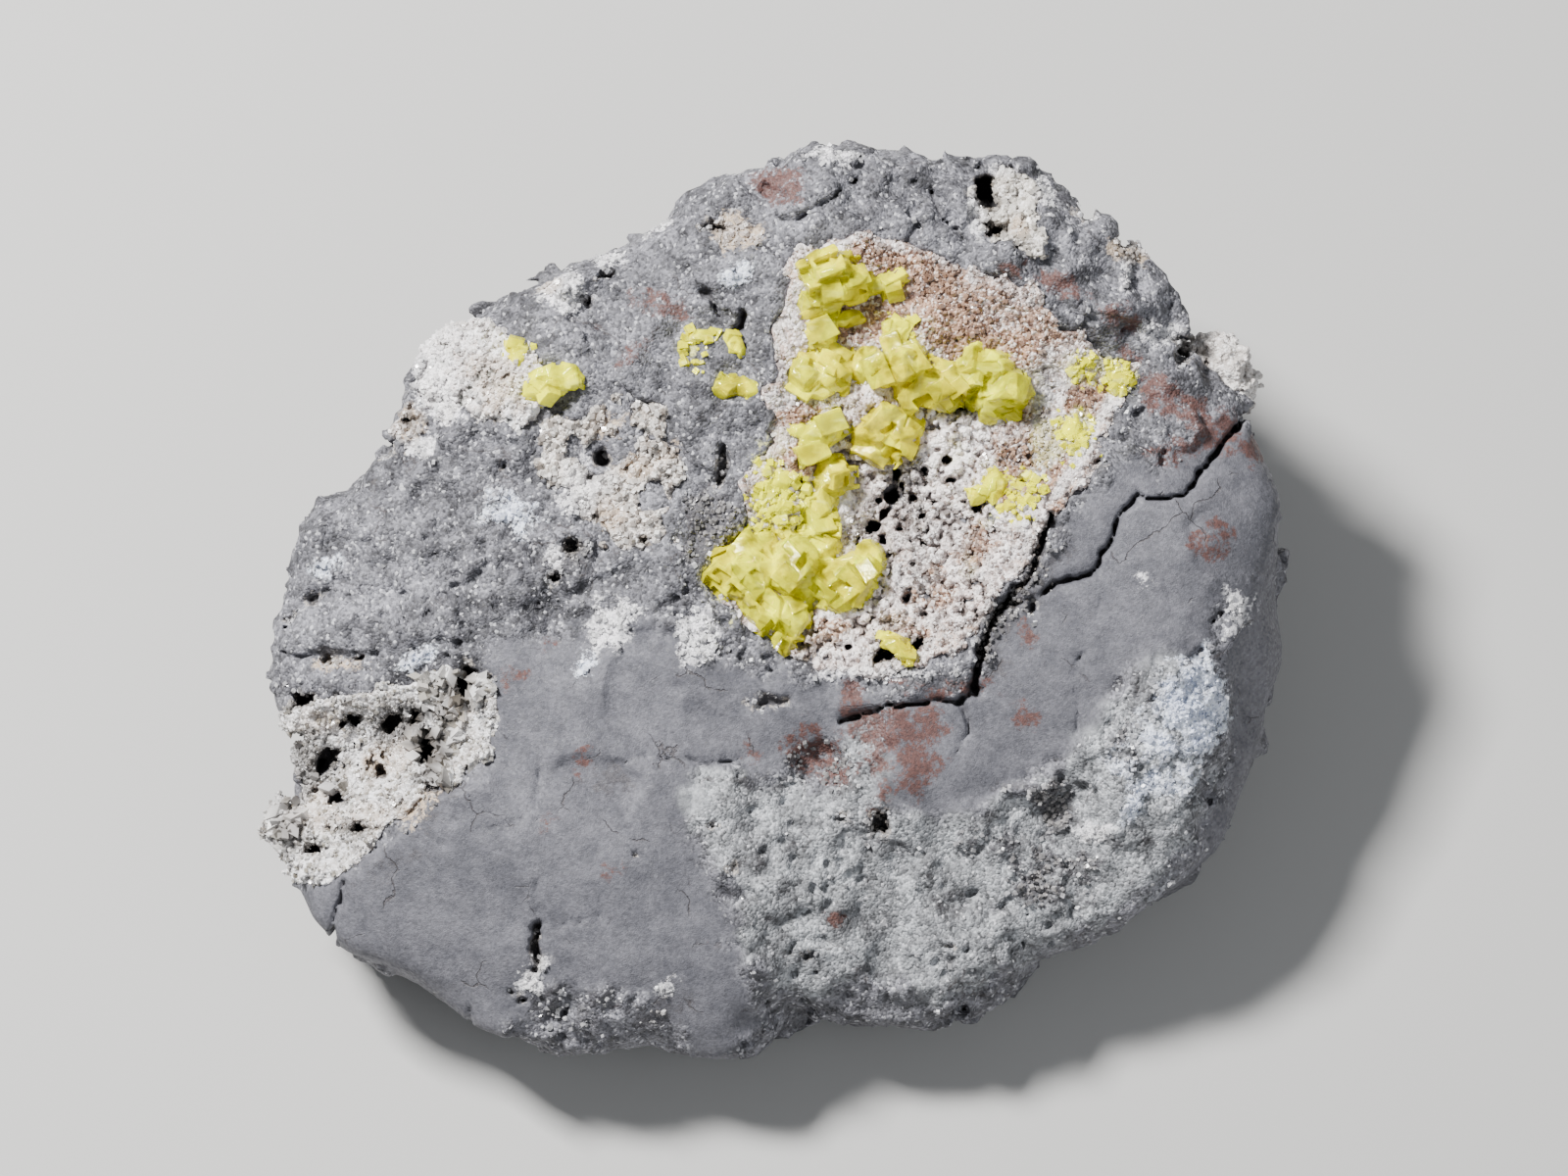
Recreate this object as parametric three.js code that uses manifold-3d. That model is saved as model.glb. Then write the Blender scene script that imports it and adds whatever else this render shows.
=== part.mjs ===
// A broken block of grey limestone that carries native sulfur crystals. It lies on its flat underside with its
// mineral face up, tilted a little towards the front. Millimetres, +Z up, origin at the middle of the bounding
// box's underside.
//
// Everything but the flat base is laid out in the face frame: u to the right and v up across the mineral face,
// w out of it. The face frame is turned about X by FACE_TILT and lifted by FACE_HEIGHT at the end.

import * as THREE from "three";
import { ConvexGeometry } from "three/addons/geometries/ConvexGeometry.js";
import { ImprovedNoise } from "three/addons/math/ImprovedNoise.js";
import { mergeVertices } from "three/addons/utils/BufferGeometryUtils.js";
import Module from "manifold-3d";

const wasm = await Module();
wasm.setup();

// ---------------------------------------------------------------- driving dimensions

const FACE_TILT = THREE.MathUtils.degToRad(20); // how far the mineral face leans from level
const FACE_HEIGHT = 58; // from the base to the middle of the face, straight up
const BACK_DEPTH = 84; // from the face to the deepest point behind it, before the base is cut
const ROCK_DETAIL = 10; // subdivisions of the sphere that the rock is shaped from
const GAP = 0.4; // clearance between two minerals that touch
const WELD = 1e-3; // vertices closer than this are one
const FINEST = 0.04; // detail smaller than this is left out of a cut piece
const FACE_WANDER = 0.4; // how far a crystal's faces turn from the ideal form
const CUT_HEIGHT = 40; // how far a pocket's cutter reaches out of the face
const CLEFT_RISE = 4; // how far the cleft's cutter does

// Where the sphere's polar angle passes from the face to the flank, and from the flank to the back.
const FACE_END = THREE.MathUtils.degToRad(76);
const FLANK_END = THREE.MathUtils.degToRad(99);

// The rock's outline across the face: u, v, and how far inside it the face's own edge lies.
const OUTLINE = [
  [88, 0, 7], [90, 8, 4], [91, 17, 3], [89, 25, 2], [83, 31, 1.5], [81, 37, 1.5], [75, 42, 1],
  [72, 47, 1], [71.5, 52, 1], [67, 57, 1], [66.5, 61, 1], [60, 65.5, 1], [55, 71, 1], [48, 76, 1],
  [37, 78, 1], [28, 77.5, 1], [18, 80, 1], [9, 79.5, 1], [1, 75, 1], [-8, 74, 1], [-15.5, 72.5, 1],
  [-17, 66, 1], [-25, 62.5, 1], [-33, 60.5, 1], [-42, 56, 1], [-48, 51, 1], [-57, 49, 1.5],
  [-61, 43, 1.5], [-62, 36, 1], [-68, 31, 1], [-72, 23, 1], [-80, 19, 1.5], [-84, 8, 2], [-87, -3, 2],
  [-90, -14, 2], [-86, -20, 1], [-85, -30, 1], [-86, -37, 1], [-84, -44, 1], [-83, -49, 1.5],
  [-80, -56, 2], [-74, -62.5, 2], [-62, -68.5, 2], [-50, -75.5, 2], [-37, -79.5, 2], [-25, -78, 2],
  [-13, -79, 2], [-4, -80.5, 2], [4, -74, 3], [17, -75, 5], [33, -74.5, 5], [43, -71, 6],
  [48, -63.5, 2.5], [60, -59.5, 3], [71, -53, 4], [77, -47, 6], [80, -38, 7], [86, -29, 9],
  [88.5, -20, 10], [89, -8, 9],
];

// Broad rises and hollows of the face: centre u, v, radius, height.
const FACE_RELIEF = [
  [-45, -45, 38, 3.5], [-70, 5, 24, -3], [-30, 25, 26, -2], [16, -17, 17, 2.5], [70, 0, 24, 4],
  [48, -42, 13, -5], [66, -30, 12, 3], [22, -58, 22, -3], [3, -74, 9, -4], [52, 62, 17, 4.5],
  [58, 44, 9, -3], [5, 70, 18, 3], [-42, 50, 14, 2.5], [-8, -66, 14, 2], [8, -27, 8, -3],
];
const RIM_FALL = 9; // how far the face drops at its edge
const RIM_POWER = 6; // how late it drops

// ---------------------------------------------------------------- solids

// A closed geometry as a manifold-3d solid.
function solidOf(geometry) {
  const bare = geometry.clone();
  for (const name of Object.keys(bare.attributes)) {
    if (name !== "position") bare.deleteAttribute(name);
  }
  const merged = mergeVertices(bare, WELD);
  return new wasm.Manifold(
    new wasm.Mesh({
      numProp: 3,
      vertProperties: new Float32Array(merged.attributes.position.array),
      triVerts: new Uint32Array(merged.index.array),
    }),
  );
}

// The largest body of a solid, without a cut's shortest edges, so that no sliver stays beside it.
function largest(solid) {
  const bodies = solid.simplify(FINEST).decompose();
  return bodies.reduce((best, body) => (body.volume() > best.volume() ? body : best));
}

function geometryOf(solid) {
  const mesh = solid.getMesh();
  const geometry = new THREE.BufferGeometry();
  geometry.setAttribute("position", new THREE.BufferAttribute(mesh.vertProperties, mesh.numProp));
  geometry.setIndex(new THREE.BufferAttribute(mesh.triVerts, 1));
  geometry.computeVertexNormals();
  return geometry;
}

// Seeded numbers from 0 to 1, so that the block is the same each time.
function seeded(seed) {
  let state = seed * 7919 + 12345;
  return () => {
    state = (state * 1103515245 + 12345) % 2147483648;
    return state / 2147483648;
  };
}

const perlin = new ImprovedNoise();
function noise(x, y, z, wavelength) {
  return perlin.noise(x / wavelength, y / wavelength, z / wavelength);
}

// ---------------------------------------------------------------- outlines

// Where a ray from the centre at this angle leaves a closed outline: [radius, the outline's third value there].
function edgeAt(outline, centre, angle) {
  const direction = [Math.cos(angle), Math.sin(angle)];
  for (let i = 0; i < outline.length; i++) {
    const a = outline[i];
    const b = outline[(i + 1) % outline.length];
    const start = [a[0] - centre[0], a[1] - centre[1]];
    const run = [b[0] - a[0], b[1] - a[1]];
    const det = run[0] * direction[1] - run[1] * direction[0];
    const share = (direction[0] * start[1] - direction[1] * start[0]) / det;
    const radius = (run[0] * start[1] - run[1] * start[0]) / det;
    if (share >= 0 && share <= 1 && radius > 0) {
      return [radius, (a[2] ?? 0) * (1 - share) + (b[2] ?? 0) * share];
    }
  }
  throw new Error("the outline has a gap at angle " + angle);
}

// Height of the rock's face over the face plane.
function faceHeight(u, v) {
  const [radius] = edgeAt(OUTLINE, [0, 0], Math.atan2(v, u));
  const reach = Math.min(1.1, Math.hypot(u, v) / radius);
  const relief = FACE_RELIEF.reduce(
    (sum, [cu, cv, r, h]) => sum + h * Math.exp(-((u - cu) ** 2 + (v - cv) ** 2) / (r * r)),
    0,
  );
  return relief - RIM_FALL * reach ** RIM_POWER;
}

// ---------------------------------------------------------------- the limestone block

// A point of the rock's surface for a direction from its middle, with +z out of the face.
function rockPoint(direction) {
  const polar = Math.acos(THREE.MathUtils.clamp(direction.z, -1, 1));
  const angle = Math.atan2(direction.y, direction.x);
  const [outer, inset] = edgeAt(OUTLINE, [0, 0], angle);
  const edgeRadius = outer - inset;
  const edgeHeight = faceHeight(edgeRadius * Math.cos(angle), edgeRadius * Math.sin(angle));
  const widest = edgeHeight - 6 - 1.3 * inset;
  let radius;
  let w;
  if (polar <= FACE_END) {
    radius = (edgeRadius * polar) / FACE_END;
    w = faceHeight(radius * Math.cos(angle), radius * Math.sin(angle));
  } else if (polar <= FLANK_END) {
    const share = (polar - FACE_END) / (FLANK_END - FACE_END);
    radius = edgeRadius + inset * Math.sin((share * Math.PI) / 2);
    w = edgeHeight + (widest - edgeHeight) * share;
  } else {
    const turn = (((polar - FLANK_END) / (Math.PI - FLANK_END)) * Math.PI) / 2;
    radius = outer * Math.cos(turn) ** 0.62;
    w = widest - (BACK_DEPTH + widest) * Math.sin(turn) ** 0.95;
  }
  const point = new THREE.Vector3(radius * Math.cos(angle), radius * Math.sin(angle), w);
  const rough = polar <= FACE_END ? 0.9 : 3.2; // the face is flatter than the broken sides
  point.x += rough * noise(point.x + 40, point.y, point.z, 17);
  point.y += rough * noise(point.x, point.y + 80, point.z, 17);
  point.z += rough * 1.3 * noise(point.x, point.y, point.z + 120, 13);
  return point;
}

function rockSolid() {
  const sphere = new THREE.IcosahedronGeometry(1, ROCK_DETAIL);
  sphere.deleteAttribute("normal");
  sphere.deleteAttribute("uv");
  const shape = mergeVertices(sphere, WELD / 10);
  const position = shape.attributes.position;
  for (let i = 0; i < position.count; i++) {
    const point = rockPoint(new THREE.Vector3().fromBufferAttribute(position, i).normalize());
    position.setXYZ(i, point.x, point.y, point.z);
  }
  return solidOf(shape);
}

// Everything below the level plane that the block stands on.
function groundSolid() {
  const ground = new THREE.BoxGeometry(400, 400, 200);
  ground.translate(0, 0, -100 - FACE_HEIGHT);
  ground.applyMatrix4(new THREE.Matrix4().makeRotationX(-FACE_TILT));
  return solidOf(ground);
}

// ---------------------------------------------------------------- calcite crusts

// Each crust lines a hollow of the face: outline, centre, how deep its middle lies under the rim (bowl), its
// thickness, and how knobbly its top is.
const CRUSTS = {
  calcite_druse_main: {
    centre: [24, 25], bowl: 5.5, thickness: 4.5, knobs: 2.2, steps: 40, rings: 6, colour: 0xe6dcd6,
    outline: [
      [66, 38], [62, 43], [52, 44.5], [50, 50], [45, 54], [36, 57.5], [30, 60.5], [22, 62.5], [15, 63.5],
      [7, 62.5], [2, 55], [0, 48], [0.5, 42], [0, 36], [-0.5, 30], [-3, 25], [-5.5, 19], [-5, 13.5],
      [-9.5, 9], [-11, 4], [-6.5, -1.5], [-0.5, -8.5], [6, -11.5], [15, -12.5], [25, -12], [30.5, -10.5],
      [32.5, -6.5], [35, -2], [38, 2.5], [41.5, 8], [44.5, 14.5], [50, 21], [56, 28], [62, 32],
    ],
  },
  calcite_druse_left_vug: {
    centre: [-69, -29], bowl: 5, thickness: 6, knobs: 2.4, steps: 24, rings: 4, colour: 0xd3cdbf,
    outline: [
      [-49, -25], [-48.5, -19], [-51, -13], [-56, -11], [-62, -14], [-68, -17], [-77, -17], [-84, -17.5],
      [-86, -21], [-87, -26], [-87, -32], [-90.5, -38], [-87, -44], [-83, -48], [-77, -47], [-69, -42],
      [-63, -36], [-58, -32], [-52, -29],
    ],
  },
  calcite_crust_upper_left: {
    centre: [-52, 40.5], bowl: -0.8, thickness: 3, knobs: 1, steps: 16, rings: 2, colour: 0xf0ecf0,
    outline: [
      [-41, 37], [-42, 41], [-45, 45], [-50, 48], [-57, 48.5], [-61.5, 45], [-63, 40], [-62, 36],
      [-57, 33.5], [-51, 34], [-45, 33.5],
    ],
  },
  calcite_crust_centre_left: {
    centre: [-29, 23], bowl: 1.5, thickness: 3, knobs: 0.8, steps: 14, rings: 2, colour: 0xd9cfc4,
    outline: [
      [-17, 25], [-19, 30], [-24, 33], [-28, 36], [-34, 34], [-38, 30], [-38.5, 26], [-37.5, 22],
      [-35, 17], [-30, 14], [-25, 10], [-21, 13], [-19, 19],
    ],
  },
  calcite_lining_top_right: {
    centre: [42, 68], bowl: 3.5, thickness: 2.5, knobs: 0.8, steps: 14, rings: 2, colour: 0xc9c5bf,
    outline: [
      [49, 68], [45, 72], [41, 75], [36.5, 73.5], [35.5, 69], [38, 64], [42, 61], [47, 63],
    ],
  },
};

// A closed slab over a star-shaped outline, between two heights that are given at u, v and the share of the way
// from the centre to the edge. spread moves its edge outwards.
function slabSolid({ outline, centre, steps, rings }, topAt, bottomAt, spread = 0) {
  const position = [];
  const index = [];
  const place = (share, angle, heightAt) => {
    const radius = (edgeAt(outline, centre, angle)[0] + spread) * share;
    const u = centre[0] + radius * Math.cos(angle);
    const v = centre[1] + radius * Math.sin(angle);
    position.push(u, v, heightAt(u, v, share));
  };
  for (const heightAt of [topAt, bottomAt]) {
    place(0, 0, heightAt);
    for (let ring = 1; ring <= rings; ring++) {
      for (let step = 0; step < steps; step++) {
        place(ring / rings, ((step + (ring % 2) / 2) / steps) * 2 * Math.PI, heightAt);
      }
    }
  }
  const bottomStart = 1 + rings * steps;
  const at = (base, ring, step) => (ring === 0 ? base : base + 1 + (ring - 1) * steps + (step % steps));
  for (const [base, up] of [[0, true], [bottomStart, false]]) {
    for (let ring = 0; ring < rings; ring++) {
      const lead = ring % 2; // odd rings are turned half a step
      for (let step = 0; step < steps; step++) {
        const inner = [at(base, ring, step), at(base, ring, step + 1)];
        const outer = [at(base, ring + 1, step), at(base, ring + 1, step + 1)];
        const faces = lead
          ? [[inner[0], outer[1], inner[1]], [inner[0], outer[0], outer[1]]]
          : [[inner[0], outer[0], inner[1]], [inner[1], outer[0], outer[1]]];
        for (const face of faces) {
          if (new Set(face).size === 3) index.push(...(up ? face : [face[0], face[2], face[1]]));
        }
      }
    }
  }
  for (let step = 0; step < steps; step++) {
    const [topA, topB] = [at(0, rings, step), at(0, rings, step + 1)];
    const [lowA, lowB] = [at(bottomStart, rings, step), at(bottomStart, rings, step + 1)];
    index.push(topA, lowA, topB, topB, lowA, lowB);
  }
  const geometry = new THREE.BufferGeometry();
  geometry.setAttribute("position", new THREE.Float32BufferAttribute(position, 3));
  geometry.setIndex(index);
  return solidOf(geometry);
}

// Height of a crust's top: the face's height, lowered to a bowl and roughened by knobs.
function crustTop(crust) {
  return (u, v, share) => {
    const knob = noise(u, v, 7, 11);
    const fade = 1 - share ** 4;
    return faceHeight(u, v) - crust.bowl * (1 - share * share) + crust.knobs * knob * fade + 0.25;
  };
}

function crustBottom(crust) {
  return (u, v, share) =>
    faceHeight(u, v) - crust.bowl * (1 - share * share) - crust.thickness - crust.knobs * (1 - share ** 4);
}

function crustSolid(crust) {
  return slabSolid(crust, crustTop(crust), crustBottom(crust));
}

// The hollow in the limestone that a crust sits in, open out of the face.
function pocketSolid(crust) {
  const bottom = crustBottom(crust);
  return slabSolid(crust, () => CUT_HEIGHT, (u, v, share) => bottom(u, v, share) - 2 * GAP, 2 * GAP);
}

// A crust with the clearance that lies over, under and around it.
function bedSolid(crust) {
  const [top, bottom] = [crustTop(crust), crustBottom(crust)];
  const raised = (u, v, share) => top(u, v, share) + GAP;
  const lowered = (u, v, share) => bottom(u, v, share) - 3 * GAP;
  return slabSolid(crust, raised, lowered, 3 * GAP);
}

// ---------------------------------------------------------------- sulfur crystals

// Face directions of one sulfur crystal with how far out each lies: four steep sides, the four upper faces of the
// orthorhombic dipyramid, and the base at both ends.
function crystalForms() {
  const forms = [[0.1, 0.05, 1, 0.8], [0, 0, -1, 0.9]];
  for (const x of [-1, 1]) {
    forms.push([x, 0.15, 0.2, 0.9], [0.12, x, 0.15, 0.9]);
    for (const y of [-1, 1]) forms.push([x, y, 0.9, 0.84]);
  }
  return forms;
}

// The bounding planes of one crystal about its own middle, grown outwards by clearance. Chips are broken faces.
function crystalPlanes({ size, seed, chips = 3 }, clearance) {
  const random = seeded(seed);
  const wander = () => FACE_WANDER * (random() - 0.5);
  const half = new THREE.Vector3(...size).multiplyScalar(0.5);
  const faces = crystalForms().map(([x, y, z, reach]) => [x + wander(), y + wander(), z + wander(), reach]);
  for (let i = 0; i < chips; i++) {
    faces.push([random() * 2 - 1, random() * 2 - 1, random() * 1.4 - 0.2, 0.76 + 0.12 * random()]);
  }
  return faces.map(([x, y, z, reach]) => {
    const normal = new THREE.Vector3(x, y, z).divide(half).normalize();
    const support = normal.clone().multiply(half).length();
    return new THREE.Plane(normal, -(support * reach + clearance));
  });
}

// The corners of the body that a set of planes encloses.
function cornersOf(planes) {
  const corners = [];
  const matrix = new THREE.Matrix3();
  planes.forEach((a, i) => {
    planes.slice(i + 1).forEach((b, j) => {
      planes.slice(i + j + 2).forEach((c) => {
        matrix.set(...a.normal.toArray(), ...b.normal.toArray(), ...c.normal.toArray());
        if (Math.abs(matrix.determinant()) < 1e-4) return;
        const offsets = new THREE.Vector3(-a.constant, -b.constant, -c.constant);
        const corner = offsets.applyMatrix3(matrix.invert());
        if (planes.every((plane) => plane.distanceToPoint(corner) < 1e-6)) corners.push(corner);
      });
    });
  });
  return corners;
}

// One crystal in the face frame. at is u, v and how far its middle stands over the surface; turn is about w and
// lean about u, in degrees.
function crystalSolid(crystal, clearance) {
  const { at, turn = 0, lean = 0 } = crystal;
  const geometry = new ConvexGeometry(cornersOf(crystalPlanes(crystal, clearance)));
  const euler = new THREE.Euler(THREE.MathUtils.degToRad(lean), 0, THREE.MathUtils.degToRad(turn));
  geometry.applyMatrix4(new THREE.Matrix4().makeRotationFromEuler(euler));
  geometry.translate(at[0], at[1], surfaceAt(at[0], at[1]) + at[2]);
  return solidOf(geometry);
}

function clusterSolid(crystals, clearance = 0) {
  return crystals
    .map((crystal) => crystalSolid(crystal, clearance))
    .reduce((joined, solid) => joined.add(solid));
}

// Each group of sulfur crystals that grew together is one piece. Sizes are width, height and depth out of the face.
const SULFUR = {
  sulfur_lower_cluster: [
    { at: [-4.6, 4.6, 1.8], size: [12, 11, 9], turn: 12, lean: 10, seed: 3 },
    { at: [-1.2, -1.6, 1.4], size: [7.5, 11.5, 7], turn: 38, seed: 4 },
    { at: [3.6, 5.6, 2.4], size: [10, 9.5, 10], turn: -28, lean: -12, seed: 8 },
    { at: [12.2, 2.8, 2], size: [13, 9, 8], turn: 14, lean: 8, seed: 6 },
    { at: [3.4, -3, 1.2], size: [6.5, 8.5, 6], turn: 10, seed: 7 },
    { at: [2.2, -7.4, 0.8], size: [3, 4.4, 3.6], turn: 15, seed: 9, chips: 1 },
    { at: [7.6, 10.2, 1], size: [8, 4.4, 4.5], turn: -8, seed: 10, chips: 1 },
    { at: [-1.6, 10.4, 1], size: [4.6, 3.6, 4], turn: 20, seed: 11, chips: 1 },
  ],
  sulfur_top_crystal: [
    { at: [10.4, 56.6, 2], size: [10.4, 10, 8.5], turn: 20, lean: -8, seed: 12 },
    { at: [8.8, 53, 1.6], size: [8, 6, 6], turn: -10, seed: 13, chips: 1 },
    { at: [15.6, 56, 1.2], size: [4.6, 4.2, 4], turn: 30, seed: 14, chips: 1 },
    { at: [19.2, 55.6, 0.9], size: [6.4, 3, 3], turn: 8, seed: 15, chips: 1 },
  ],
  sulfur_row_centre: [
    { at: [16.2, 41.2, 1.4], size: [4.4, 7.4, 6], turn: 4, lean: 6, seed: 16, chips: 1 },
    { at: [19, 40.6, 1.6], size: [4.6, 6.8, 5.6], turn: 14, seed: 17, chips: 1 },
    { at: [23.7, 41.6, 3.2], size: [7.4, 6.8, 9], turn: -12, lean: 8, seed: 18, chips: 1 },
    { at: [24.4, 37.2, 1.8], size: [6, 5.4, 6], turn: -30, seed: 19, chips: 1 },
    { at: [29.6, 38, 2], size: [10, 9.4, 8], turn: -12, lean: -6, seed: 20 },
  ],
  sulfur_row_right: [
    { at: [34.4, 39.8, 1.3], size: [6, 6.4, 5.6], turn: 12, seed: 21, chips: 1 },
    { at: [38.6, 41, 1.9], size: [8.4, 6.4, 7], turn: -6, seed: 22 },
    { at: [40.8, 37.6, 2.1], size: [8.6, 7.4, 7.5], turn: 22, lean: -10, seed: 23 },
    { at: [36.6, 37, 1.5], size: [6.4, 6, 6], turn: 5, seed: 24, chips: 1 },
  ],
  sulfur_row_left: [
    { at: [5.8, 40.2, 1.2], size: [6, 6.2, 5], turn: 10, seed: 25, chips: 1 },
    { at: [10.4, 40.4, 1.4], size: [7.6, 6.6, 6], turn: -14, seed: 26 },
    { at: [8.6, 37.2, 1], size: [5.4, 4, 4], turn: 24, seed: 27, chips: 1 },
  ],
  sulfur_flower: [
    { at: [18, 30, 1.3], size: [7.6, 6.6, 5.5], turn: 18, seed: 28 },
    { at: [22.8, 30, 1.5], size: [6.2, 7.2, 6], turn: -20, seed: 29 },
    { at: [20.2, 27, 1.2], size: [6.6, 5.4, 5], turn: 6, seed: 30, chips: 1 },
    { at: [16, 29, 0.9], size: [3.6, 3.2, 3.4], turn: 30, seed: 31, chips: 1 },
  ],
  sulfur_jagged: [
    { at: [9.2, 30.2, 1.2], size: [8.6, 5.2, 5], turn: 22, seed: 32, chips: 1 },
    { at: [6.6, 27.6, 1], size: [4.4, 5.4, 4.4], turn: -12, seed: 33, chips: 1 },
    { at: [4.8, 30, 0.8], size: [4, 2.8, 3.2], turn: -20, seed: 34, chips: 1 },
  ],
  sulfur_round: [{ at: [10.6, 21.8, 1.6], size: [7.8, 7.4, 7.5], turn: 30, seed: 35, chips: 7 }],
  sulfur_pale_blade: [
    { at: [8.2, 16.6, 1.3], size: [5.6, 7.4, 5.4], turn: -10, seed: 36, chips: 1 },
    { at: [9.8, 14, 1.1], size: [4.6, 5.8, 4.6], turn: 12, seed: 37, chips: 1 },
  ],
  sulfur_small_block: [
    { at: [9, 47.6, 1.1], size: [4.8, 5.6, 5], turn: 6, seed: 38, chips: 1 },
    { at: [13, 49.8, 0.7], size: [6, 2.4, 3], turn: 12, seed: 39, chips: 1 },
    { at: [8, 45.2, 0.7], size: [4.6, 2.8, 3.2], turn: -6, seed: 40, chips: 1 },
  ],
  sulfur_chip_upper: [{ at: [22, 48, 0.8], size: [5, 4, 3.8], turn: 10, seed: 41, chips: 1 }],
  sulfur_pale_chip: [{ at: [2, 21.6, 0.9], size: [3.4, 3.4, 3.4], turn: 35, seed: 42, chips: 1 }],
  sulfur_bottom_chip: [
    { at: [21.6, -7.6, 1.2], size: [5.2, 3.2, 3.8], turn: -16, seed: 43, chips: 1 },
    { at: [23, -9.2, 1.2], size: [3.4, 2.2, 3], turn: 8, seed: 44, chips: 1 },
  ],
  sulfur_right_sliver: [
    { at: [36.9, 18.9, 1], size: [4, 2.8, 3.2], turn: 25, seed: 45, chips: 1 },
    { at: [39.2, 20.8, 1], size: [3.2, 4.2, 3.2], turn: -32, seed: 46, chips: 1 },
  ],
  sulfur_left_crystal: [
    { at: [-39.4, 38.4, 0.6], size: [8.4, 6.2, 5.6], turn: 18, seed: 47 },
    { at: [-35.4, 39, 0.4], size: [5.8, 4.4, 4.6], turn: -12, seed: 48, chips: 1 },
  ],
  sulfur_left_chip: [{ at: [-44.8, 43.4, 0.3], size: [3.8, 5.4, 3.8], turn: 12, seed: 49, chips: 1 }],
  sulfur_centre_chip: [
    { at: [-7.5, 38, 0.6], size: [4.8, 3.8, 3.4], turn: 6, seed: 50, chips: 1 },
    { at: [-4.4, 37.4, 0.5], size: [4.2, 3.2, 3], turn: -20, seed: 51, chips: 1 },
  ],
  sulfur_vein_left: [{ at: [-12, 46.5, 0.5], size: [5, 2, 2.6], turn: 8, seed: 52, chips: 1 }],
  sulfur_vein_right: [{ at: [-6.2, 45, 0.5], size: [2.6, 4.8, 2.6], turn: 24, seed: 53, chips: 1 }],
  sulfur_lobe_left: [{ at: [54.4, 39.8, 1], size: [4.6, 3, 3], turn: -6, seed: 54, chips: 1 }],
  sulfur_lobe_right: [{ at: [60.8, 39.6, 1], size: [3.8, 3.6, 3], turn: 14, seed: 55, chips: 1 }],
  sulfur_lobe_lower: [{ at: [52.8, 30, 1], size: [3, 4, 3], turn: -10, seed: 56, chips: 1 }],
};

// The knob of drusy calcite that hangs off the right shoulder of the block.
const KNOB = [
  { at: [80.4, 42.4, -5], size: [8, 9, 10], turn: 20, seed: 61, chips: 8 },
  { at: [78, 44.4, -6], size: [7, 6, 8], turn: -30, seed: 62, chips: 8 },
  { at: [75.4, 43.8, -7], size: [5, 4, 6], turn: 10, seed: 63, chips: 1 },
  { at: [81, 38, -8], size: [7, 8, 10], turn: 5, seed: 64, chips: 8 },
];

// ---------------------------------------------------------------- the cleft

// The open cleft below the big hollow: u, v and width along it, and how deep it goes.
const CLEFT = {
  depth: 9,
  line: [
    [49.5, 16.5, 1], [47, 10.5, 3], [45.2, 5.5, 3.6], [42.4, 1, 4], [39.4, -3, 4.2], [37.2, -7.5, 4.6],
    [36.6, -11.5, 3.6], [36.4, -15.5, 0.8],
  ],
};

// A V-shaped cutter along a line: it comes to an edge at its depth, and stands well out of the face.
function cleftSolid({ depth, line }) {
  const position = [];
  const index = [];
  const widening = (depth + CLEFT_RISE) / depth;
  line.forEach(([u, v, width], i) => {
    const before = line[Math.max(0, i - 1)];
    const after = line[Math.min(line.length - 1, i + 1)];
    const run = new THREE.Vector2(after[0] - before[0], after[1] - before[1]).normalize();
    const [sideU, sideV] = [(-run.y * width * widening) / 2, (run.x * width * widening) / 2];
    const surface = faceHeight(u, v);
    position.push(u + sideU, v + sideV, surface + CLEFT_RISE);
    position.push(u, v, surface - depth);
    position.push(u - sideU, v - sideV, surface + CLEFT_RISE);
  });
  for (let start = 0; start < 3 * (line.length - 1); start += 3) {
    for (let corner = 0; corner < 3; corner++) {
      const [a, b] = [start + corner, start + ((corner + 1) % 3)];
      index.push(a, a + 3, b, b, a + 3, b + 3);
    }
  }
  const last = 3 * (line.length - 1);
  index.push(0, 1, 2, last, last + 2, last + 1);
  const geometry = new THREE.BufferGeometry();
  geometry.setAttribute("position", new THREE.Float32BufferAttribute(position, 3));
  geometry.setIndex(index);
  return solidOf(geometry);
}

// ---------------------------------------------------------------- assembly

// Height of what a crystal grows on: the crust it stands in, or the bare face.
function surfaceAt(u, v) {
  for (const crust of Object.values(CRUSTS)) {
    const offset = [u - crust.centre[0], v - crust.centre[1]];
    const [radius] = edgeAt(crust.outline, crust.centre, Math.atan2(offset[1], offset[0]));
    const share = Math.hypot(...offset) / radius;
    if (share < 1) return crustTop(crust)(u, v, share);
  }
  return faceHeight(u, v);
}

function mineral(name, solid, material) {
  const mesh = new THREE.Mesh(geometryOf(solid), material);
  mesh.name = name;
  return mesh;
}

const stone = new THREE.MeshStandardMaterial({ color: 0x8b8a8f, roughness: 0.95, metalness: 0 });
const white = new THREE.MeshStandardMaterial({ color: 0xcfcaca, roughness: 0.7, metalness: 0 });
const yellow = new THREE.MeshStandardMaterial({ color: 0xd9cf1e, roughness: 0.25, metalness: 0 });

const specimen = new THREE.Group();
specimen.rotation.x = FACE_TILT;

const crusts = Object.entries(CRUSTS);
const pockets = crusts.map(([, crust]) => pocketSolid(crust)).reduce((joined, solid) => joined.add(solid));
const hollows = pockets.add(cleftSolid(CLEFT)).add(groundSolid()).add(clusterSolid(KNOB, GAP));
const matrix = largest(rockSolid().subtract(hollows));

specimen.add(mineral("limestone_matrix", matrix, stone));
specimen.add(mineral("calcite_knob_right", largest(clusterSolid(KNOB)), white));

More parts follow.
